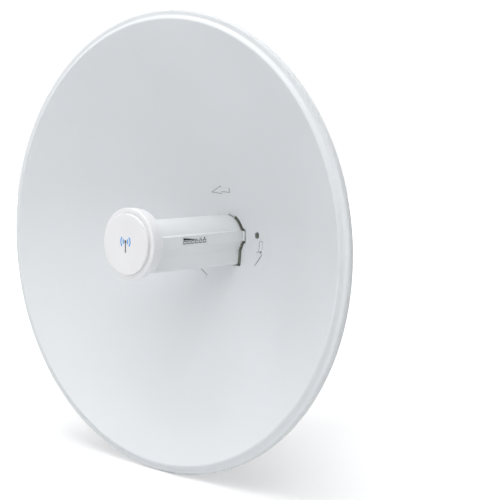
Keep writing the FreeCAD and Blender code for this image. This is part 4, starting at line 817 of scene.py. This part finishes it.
# ---------------------------------------------------------------- sub-assemblies
@dataclass
class PoleClamp:
    """The carriage bolts, flange nuts and tilt marks of the pole mount."""

    wardrobe: Wardrobe
    bolt_radius: float = 4.0 * MM
    bolt_pitch: float = 1.25 * MM
    plain_length: float = 30.0 * MM
    head_radius: float = 7.9 * MM
    dome_height: float = 3.4 * MM
    neck_length: float = 3.0 * MM
    nut_across: float = 13.0 * MM
    flange_radius: float = 8.55 * MM
    mark_count: int = 9
    mark_step: float = 5.0
    mark_radius: float = 36.2 * MM

    def build(self) -> None:
        """Build the pieces."""
        low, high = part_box("clamp_bolts")
        offset = (high.x - low.x) / 2 - self.head_radius
        centres = (-offset, offset)
        self._bolts(centres, low.y, high.y)
        nut_low, nut_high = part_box("clamp_nuts")
        self._nuts(centres, nut_low.y, nut_high.y)
        self._marks()

    def _bolts(self, centres: Sequence[float], back: float, front: float) -> None:
        """Carriage bolts: domed head, square neck, plain shank and rolled thread.

        Args:
            centres: Where each stands along X.
            back: The crown of the heads.
            front: The tips.
        """
        sculpt = Sculpt()
        dome = self.dome_height
        for x in centres:
            axis = Axis(Vector((x, back, 0.0)), Vector((0, 1, 0)), Vector((1, 0, 0)))
            count = 36
            rings = [axis.ring(0.4 * MM, 0.0, count)]
            steps = 8
            for index in range(1, steps + 1):
                share = index / steps
                rings.append(axis.ring(self.head_radius * math.sin(share * math.pi / 2) ** 0.9,
                                       dome * (1 - math.cos(share * math.pi / 2)) * 0.93, count))
            rings.append(axis.ring(self.head_radius - 0.2 * MM, dome, count))
            square = self._square(self.bolt_radius - 0.02 * MM)
            rings.append(axis.ring(square, dome, count))
            rings.append(axis.ring(square, dome + self.neck_length, count))
            rings.append(axis.ring(self.bolt_radius * 0.98, dome + self.neck_length, count))
            start = dome + self.neck_length + self.plain_length
            rings.append(axis.ring(self.bolt_radius * 0.98, start - 0.2 * MM, count))
            rings += thread_rings(axis, self.bolt_radius, self.bolt_pitch, start, front - back)
            sculpt.loft(rings)
        sculpt.finish("carriage_bolts", Body.MOUNT, Slot.FASTENER_STEEL, self.wardrobe, ["clamp_bolts"])

    @staticmethod
    def _square(half: float) -> Callable[[float], float]:
        """Radius of a square bar with eased corners.

        Args:
            half: Half its width.

        Returns:
            A function from the angle to the radius.
        """
        def radius(angle: float) -> float:
            """Radius at one angle."""
            turn = (angle + math.pi / 4) % (math.pi / 2) - math.pi / 4
            return min(half / math.cos(turn), half * 1.36)

        return radius

    def _nuts(self, centres: Sequence[float], back: float, front: float) -> None:
        """Flange nuts with turned-off corners and a countersunk bore.

        Args:
            centres: Where each stands along X.
            back: The seat of the flanges.
            front: The far faces.
        """
        sculpt = Sculpt()
        bore = self.bolt_radius + 0.08 * MM
        for x in centres:
            axis = Axis(Vector((x, back, 0.0)), Vector((0, 1, 0)), Vector((1, 0, 0)))
            length = front - back
            rings = [
                axis.ring(self.flange_radius - 0.25 * MM, 0.0),
                axis.ring(self.flange_radius, 0.25 * MM),
                axis.ring(self.flange_radius, 0.8 * MM),
                axis.ring(self.flange_radius - 0.5 * MM, 1.15 * MM),
            ]
            rings += chamfered_hex(axis, self.nut_across, 1.9 * MM, length)
            rings += [
                axis.ring(bore + 0.6 * MM, length),
                axis.ring(bore, length - 0.6 * MM),
                axis.ring(bore, 0.6 * MM),
                axis.ring(bore + 0.6 * MM, 0.0),
            ]
            sculpt.loft(rings, closed=True)
        sculpt.finish("flange_nuts", Body.CLAMP_JAW, Slot.FASTENER_STEEL, self.wardrobe, ["clamp_nuts"])

    def _marks(self) -> None:
        """Tilt marks stamped beside the slot of each ear, longer at the middle and ends."""
        sculpt = Sculpt()
        _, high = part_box("pole_bracket")
        bolt_low, bolt_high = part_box("pivot_bolts")
        pivot_y = (bolt_low.y + bolt_high.y) / 2
        foot, proud = high.x - 0.02 * MM, 0.08 * MM
        for index in range(self.mark_count):
            turn = math.radians((index - (self.mark_count - 1) / 2) * self.mark_step)
            long = index % 4 == 0
            start, end = (self.mark_radius - (2.0 if long else 1.2) * MM, self.mark_radius)
            along = Vector((0, math.sin(turn), math.cos(turn)))
            side = Vector((0, math.cos(turn), -math.sin(turn))) * 0.2 * MM
            for x, out in ((foot, proud), (-foot, -proud)):
                base = Vector((x, pivot_y, 0.0))
                loop = [base + along * start - side, base + along * start + side,
                        base + along * end + side, base + along * end - side]
                top = [point + Vector((out, 0, 0)) for point in loop]
                sculpt.loft([loop, top])
        sculpt.finish("tilt_marks", Body.MOUNT, Slot.EMBLEM_BLACK, self.wardrobe)


@dataclass
class TiltBolts:
    """The hexagon bolts through the bracket's ears."""

    wardrobe: Wardrobe
    collar: float = 0.5 * MM
    head_height: float = 5.0 * MM
    tip_offset: float = 36.0 * MM

    def build(self) -> None:
        """Build both sizes of bolt, on both sides."""
        self._pair("pivot_bolts", "pivot_hex_bolts", 13.0 * MM, 4.0 * MM)
        self._pair("tilt_lock_bolts", "tilt_hex_bolts", 10.0 * MM, 3.0 * MM)

    def _pair(self, node: str, name: str, across: float, radius: float) -> None:
        """One bolt on each side.

        Args:
            node: The frame's node.
            name: The new piece's name.
            across: Distance between the head's flats.
            radius: Shank radius.
        """
        sculpt = Sculpt()
        low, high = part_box(node)
        head = self.head_height
        centre = Vector((0.0, (low.y + high.y) / 2, (low.z + high.z) / 2))
        reach = high.x
        length = reach - self.tip_offset
        for side in (1.0, -1.0):
            axis = Axis(centre + Vector((side * reach, 0, 0)), Vector((-side, 0, 0)), Vector((0, 0, 1)))
            crown = list(reversed(chamfered_hex(axis, across, head - self.collar, 0.0)))
            rings = [axis.ring(across * 0.36, 0.25 * MM), axis.ring(across * 0.4, 0.0)]
            rings += crown
            rings += [
                axis.ring(across * 0.47, head - self.collar),
                axis.ring(across * 0.47, head),
                axis.ring(radius, head),
                axis.ring(radius, length - 0.6 * MM),
                axis.ring(radius - 0.6 * MM, length),
            ]
            sculpt.loft(rings)
        sculpt.finish(name, Body.REFLECTOR, Slot.FASTENER_STEEL, self.wardrobe, [node])


@dataclass
class DishMarkings:
    """Grey strips of painted shadow along edges of the turning arrows, and the ring's spot welds."""

    wardrobe: Wardrobe
    focal_length: float = 127.24 * MM
    vertex_y: float = -138.0 * MM
    shaft: float = 2.8 * MM
    head: float = 5.0 * MM
    emboss: float = 0.7 * MM
    # Each arrow: place round the dish in degrees, sense, middle radius, and the edges that get a strip of
    # painted shadow.
    arrows: tuple[tuple[float, float, float, tuple[str, ...]], ...] = (
        (-19.0, -1.0, 60.2 * MM, ("tail", "inner_shaft", "inner_barb", "outer_head")),
        (95.0, 1.0, 55.0 * MM, ("tail", "inner_shaft", "outer_barb", "outer_head", "inner_head")),
        (-133.0, -1.0, 59.0 * MM, ("inner_shaft",)))
    span: tuple[float, float, float] = (-15.0, -1.0, 15.5)
    line_width: float = 0.55 * MM
    weld_count: int = 12
    weld_radius: float = 2.4 * MM
    weld_inset: float = 4.6 * MM
    flange_back: float = 3.3 * MM

    def build(self) -> None:
        """Build the pieces."""
        self._strokes()
        self._welds()

    def _bowl(self, flat: Vector, lift: float) -> Vector:
        """A point of the bowl's face, moved forward.

        Args:
            flat: Its x and z, as a 2D vector.
            lift: How far in front of the face.

        Returns:
            The point in the frame.
        """
        depth = flat.length_squared / (4 * self.focal_length)
        return Vector((flat.x, self.vertex_y - depth - lift, flat.y))

    def _arrow(self, centre: float, sense: float, middle: float) -> tuple[dict[str, list[Vector]], Vector]:
        """The edges of one arrow, as 2D lines by name, and a point inside it.

        Args:
            centre: Its place round the dish, in degrees.
            sense: 1 where it points anticlockwise.
            middle: Radius of its middle line.

        Returns:
            The edges and the inside point.
        """
        tail, neck, tip = self.span
        steps = 12

        def polar(distance: float, degrees: float) -> Vector:
            """A 2D point at a distance and turn."""
            angle = math.radians(centre + sense * degrees)
            return Vector((distance * math.cos(angle), distance * math.sin(angle)))

        edges = {"tail": [polar(middle + self.shaft, tail), polar(middle - self.shaft, tail)]}
        for side, way in (("outer", 1.0), ("inner", -1.0)):
            near = middle + way * self.shaft
            far = middle + way * self.head
            edges[side + "_shaft"] = [polar(near, tail + (neck - tail) * index / steps)
                                      for index in range(steps + 1)]
            edges[side + "_barb"] = [polar(near, neck), polar(far, neck)]
            edges[side + "_head"] = [polar(far, neck), polar(middle, tip)]
        return edges, polar(middle, neck + 1.0)

    def _strokes(self) -> None:
        """A narrow grey strip of painted shadow along the listed edges of each arrow's face, where shade
        falls.
        """
        sculpt = Sculpt()
        low = self.emboss + 0.03 * MM
        high = low + 0.04 * MM
        # Painted shadow: grey strips on the arrow edges that lie in shade, not on the lit ones.
        for centre, sense, middle, shaded_edges in self.arrows:
            edges, inside = self._arrow(centre, sense, middle)
            for name in shaded_edges:
                line = edges[name]
                way = (line[-1] - line[0]).normalized()
                across = Vector((-way.y, way.x))
                if across.dot(inside - line[0]) < 0:
                    across = -across
                step = across * self.line_width
                sculpt.loft([[self._bowl(point, low), self._bowl(point + step, low),
                              self._bowl(point + step, high), self._bowl(point, high)] for point in line])
        sculpt.finish("arrow_shadow_lines", Body.REFLECTOR, Slot.DARK_PLASTIC, self.wardrobe)

    def _welds(self) -> None:
        """Shallow spot-weld buttons round the flange of the lock ring."""
        sculpt = Sculpt()
        low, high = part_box("dish_lock_ring")
        ring_radius = (high.x - low.x) / 2 - self.weld_inset
        slope = math.atan(ring_radius / (2 * self.focal_length))
        for index in range(self.weld_count):
            turn = 2 * math.pi * (index + 0.5) / self.weld_count
            out = Vector((math.cos(turn), 0, math.sin(turn)))
            along = (Vector((0, 1, 0)) * math.cos(slope) + out * math.sin(slope)).normalized()
            depth = ring_radius ** 2 / (4 * self.focal_length)
            back = self.flange_back / math.cos(slope)
            origin = out * ring_radius + Vector((0, self.vertex_y - depth + back, 0))
            side = along.cross(Vector((0, 0, 1))).normalized()
            axis = Axis(origin, along, side)
            profile = [(1.0, -0.15), (0.96, 0.16), (0.8, 0.3), (0.62, 0.22), (0.45, 0.05), (0.1, 0.0)]
            rings = [axis.ring(self.weld_radius * share, height * MM, 24) for share, height in profile]
            sculpt.loft(rings)
        sculpt.finish("ring_spot_welds", Body.REFLECTOR, Slot.BRACKET_STEEL, self.wardrobe)


@dataclass
class StatusMarks:
    """The generic print on the status panel: a narrowing bar, six oblong outlines and two signs."""

    wardrobe: Wardrobe
    light_count: int = 6
    light_pitch: float = 6.5 * MM
    bar_margin: float = 3.0 * MM
    light_z: float = -1.3 * MM
    window: tuple[float, float] = (3.6 * MM, 2.3 * MM)
    line: float = 0.75 * MM
    wedge_height: float = 2.8 * MM
    wedge_pitches: float = 3.2
    sign_lift: float = 1.5 * MM
    thickness: float = 0.06 * MM

    def build(self) -> None:
        """Build the print."""
        sculpt = Sculpt()
        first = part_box("light_pipes")[0].y + self.bar_margin
        for index in range(self.light_count):
            self._frame(sculpt, first + self.light_pitch * index)
        foot = self.light_z + self.window[1] / 2 + self.line
        start = first - self.window[0] / 2 - self.line
        end = first + self.light_pitch * self.wedge_pitches
        self._plate(sculpt, [(start, foot + 0.5 * MM), (end, foot + 0.4 * MM), (end, foot + 0.8 * MM),
                             (start, foot + 0.5 * MM + self.wedge_height)])
        sign_z = foot + self.sign_lift
        self._arrow(sculpt, first + self.light_pitch * 4 - 2.1 * MM, sign_z)
        self._post(sculpt, first + self.light_pitch * 5 - 0.9 * MM, sign_z)
        sculpt.finish("status_marks", Body.FEED, Slot.EMBLEM_BLACK, self.wardrobe)

    def _arrow(self, sculpt: Sculpt, y: float, z: float) -> None:
        """A small arrow that points towards the dish.

        Args:
            sculpt: Where it goes.
            y: Its tail.
            z: Its middle line.
        """
        neck, tip = 2.2 * MM, 4.0 * MM
        shaft, head = 0.25 * MM, 0.8 * MM
        self._plate(sculpt, [(y, z - shaft), (y + neck, z - shaft), (y + neck, z - head), (y + tip, z),
                             (y + neck, z + head), (y + neck, z + shaft), (y, z + shaft)])

    def _post(self, sculpt: Sculpt, y: float, z: float) -> None:
        """A small post with a pointed top.

        Args:
            sculpt: Where it goes.
            y: Its near side.
            z: The height that it stands round.
        """
        wide, low, shoulder, top = 1.8 * MM, 1.0 * MM, 0.6 * MM, 1.3 * MM
        self._plate(sculpt, [(y, z - low), (y + wide, z - low), (y + wide, z + shoulder),
                             (y + wide / 2, z + top), (y, z + shoulder)])

    @staticmethod
    def _on_panel(corners: Sequence[tuple[float, float]]) -> Loop:
        """Points on the panel's face.

        Args:
            corners: Their y and z.

        Returns:
            The points in the frame.
        """
        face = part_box("status_panel")[1].x - 0.01 * MM
        return [Vector((face, y, z)) for y, z in corners]

    def _plate(self, sculpt: Sculpt, corners: Sequence[tuple[float, float]]) -> None:
        """A thin printed shape.

        Args:
            sculpt: Where it goes.
            corners: Its corners as y and z.
        """
        loop = self._on_panel(corners)
        sculpt.loft([loop, [point + Vector((self.thickness, 0, 0)) for point in loop]])

    def _frame(self, sculpt: Sculpt, y: float) -> None:
        """An oblong outline round one light.

        Args:
            sculpt: Where it goes.
            y: The light's place along the panel.
        """
        borders = []
        for margin in (0.0, self.line):
            wide = self.window[0] / 2 + margin
            tall = self.window[1] / 2 + margin
            low, high = self.light_z - tall, self.light_z + tall
            borders.append(self._on_panel([(y - wide, low), (y + wide, low),
                                           (y + wide, high), (y - wide, high)]))
        sculpt.ribbon(borders[0], borders[1], Vector((self.thickness, 0, 0)))


@dataclass
class Studio:
    """Floor, lamps, world and camera."""

    floor_z: float
    floor_half: float = 6.0
    floor_colour: Colour = (0.86, 0.86, 0.865)
    # Floor glow near and far: the weak glow near the object is painted shade round it.
    floor_glow_painted_shade: tuple[float, float] = (0.26, 1.1)
    floor_reach: tuple[float, float] = (0.5, 2.0)
    ambient: float = 0.12
    camera_place: tuple[float, float, float] = (0.8133, -1.0704, 0.1003)
    camera_pitch: float = 89.17
    camera_turn: float = 40.14
    lens: float = 73.28
    shift: tuple[float, float] = (0.012, -0.166)
    lamps: list[tuple[str, tuple[float, float, float], float, float]] = field(default_factory=lambda: [
        ("key", (-2.0, -1.9, 1.9), 3.0, 16.5),
        ("top", (0.0, -0.7, 3.0), 2.5, 72.0),
        ("high_right", (1.6, -2.4, 2.2), 2.5, 28.0),
        ("side_right", (2.0, -1.2, 2.6), 2.5, 11.0),
        ("left", (-2.7, -1.2, 0.5), 3.0, 9.5),
        ("front", (0.2, -3.2, 0.4), 2.5, 12.5),
        ("back", (0.6, 2.0, 1.6), 2.0, 8.0),
    ])

    def build(self) -> None:
        """Build the studio."""
        scene = bpy.context.scene
        scene.view_settings.view_transform = "Standard"
        self._floor()
        self._world(scene)
        for name, place, size, power in self.lamps:
            self._lamp(name, Vector(place), size, power)
        self._camera(scene)

    def _seen(self, graph: Graph) -> bpy.types.NodeSocket:
        """1 for what the camera sees directly, in a mirror or through glass.

        Args:
            graph: The graph to add the nodes to.

        Returns:
            The mask.
        """
        path = graph.node("ShaderNodeLightPath")
        seen = graph.sum("ADD", path.outputs["Is Camera Ray"], path.outputs["Is Glossy Ray"])
        return graph.sum("MINIMUM", graph.sum("ADD", seen, path.outputs["Is Transmission Ray"]), 1.0)

    def _floor(self) -> None:
        """A white floor that keeps the object's shadow, with painted shade: its glow is weaker near the
        object, so the floor round it reads darker.
        """
        half = self.floor_half
        corners = [(-half, -half), (half, -half), (half, half), (-half, half)]
        data = bpy.data.meshes.new("studio_floor")
        data.from_pydata([(x, y, self.floor_z) for x, y in corners], [], [(0, 1, 2, 3)])
        floor = bpy.data.objects.new("studio_floor", data)
        bpy.context.scene.collection.objects.link(floor)
        floor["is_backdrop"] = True
        material = bpy.data.materials.new("studio_floor")
        material.use_nodes = True
        graph = Graph(material.node_tree)
        shader = material.node_tree.nodes["Principled BSDF"]
        shader.inputs["Base Color"].default_value = rgba(self.floor_colour)
        shader.inputs["Roughness"].default_value = 0.35
        shader.inputs["Emission Color"].default_value = (1, 1, 1, 1)
        place = graph.node("ShaderNodeNewGeometry").outputs["Position"]
        away = graph.node("ShaderNodeVectorMath", {"operation": "LENGTH"})
        graph.fill(away.inputs[0], place)
        # Painted shade: the glow fades towards the object, so the floor darkens round it.
        glow_painted_shade = graph.spread(away.outputs["Value"], *self.floor_glow_painted_shade, *self.floor_reach)
        graph.fill(shader.inputs["Emission Strength"], graph.sum("MULTIPLY", self._seen(graph), glow_painted_shade))
        data.materials.append(material)

    def _world(self, scene: bpy.types.Scene) -> None:
        """Soft light all round, and plain white where it is seen.

        Args:
            scene: The scene to light.
        """
        world = bpy.data.worlds.new("studio_world")
        scene.world = world
        world.use_nodes = True
        graph = Graph(world.node_tree)
        background = world.node_tree.nodes["Background"]
        background.inputs["Color"].default_value = (0.985, 0.99, 1.0, 1.0)
        graph.fill(background.inputs["Strength"], graph.spread(self._seen(graph), self.ambient, 1.03))

    def _lamp(self, name: str, place: Vector, size: float, power: float) -> None:
        """A square soft lamp aimed at the object.

        Args:
            name: Its name.
            place: Where it stands.
            size: Width of the lamp.
            power: Its power.
        """
        data = bpy.data.lights.new(name, "AREA")
        data.size = size
        data.energy = power
        lamp = bpy.data.objects.new(name, data)
        lamp.location = place
        lamp.rotation_mode = "QUATERNION"
        lamp.rotation_quaternion = (place - Vector((0, -0.15, 0))).to_track_quat("Z", "Y")
        bpy.context.scene.collection.objects.link(lamp)

    def _camera(self, scene: bpy.types.Scene) -> None:
        """The camera.

        Args:
            scene: The scene that uses it.
        """
        data = bpy.data.cameras.new("camera")
        data.lens = self.lens
        data.sensor_width = 36.0
        data.shift_x, data.shift_y = self.shift
        data.clip_start, data.clip_end = 0.05, 50.0
        camera = bpy.data.objects.new("camera", data)
        camera.location = self.camera_place
        camera.rotation_euler = (math.radians(self.camera_pitch), 0.0, math.radians(self.camera_turn))
        bpy.context.scene.collection.objects.link(camera)
        scene.camera = camera


def main() -> None:
    """Build the looks around the frame."""
    logging.basicConfig(level=logging.INFO, format="%(message)s")
    for left in list(bpy.data.objects):
        bpy.data.objects.remove(left)
    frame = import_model()
    frame_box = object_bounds()
    wardrobe = Wardrobe()
    wardrobe.dress_nodes(frame)
    for assembly in (PoleClamp, TiltBolts, DishMarkings, StatusMarks):
        assembly(wardrobe).build()
    Studio(floor_z=frame_box[0].z).build()


if __name__ == "__main__":
    main()
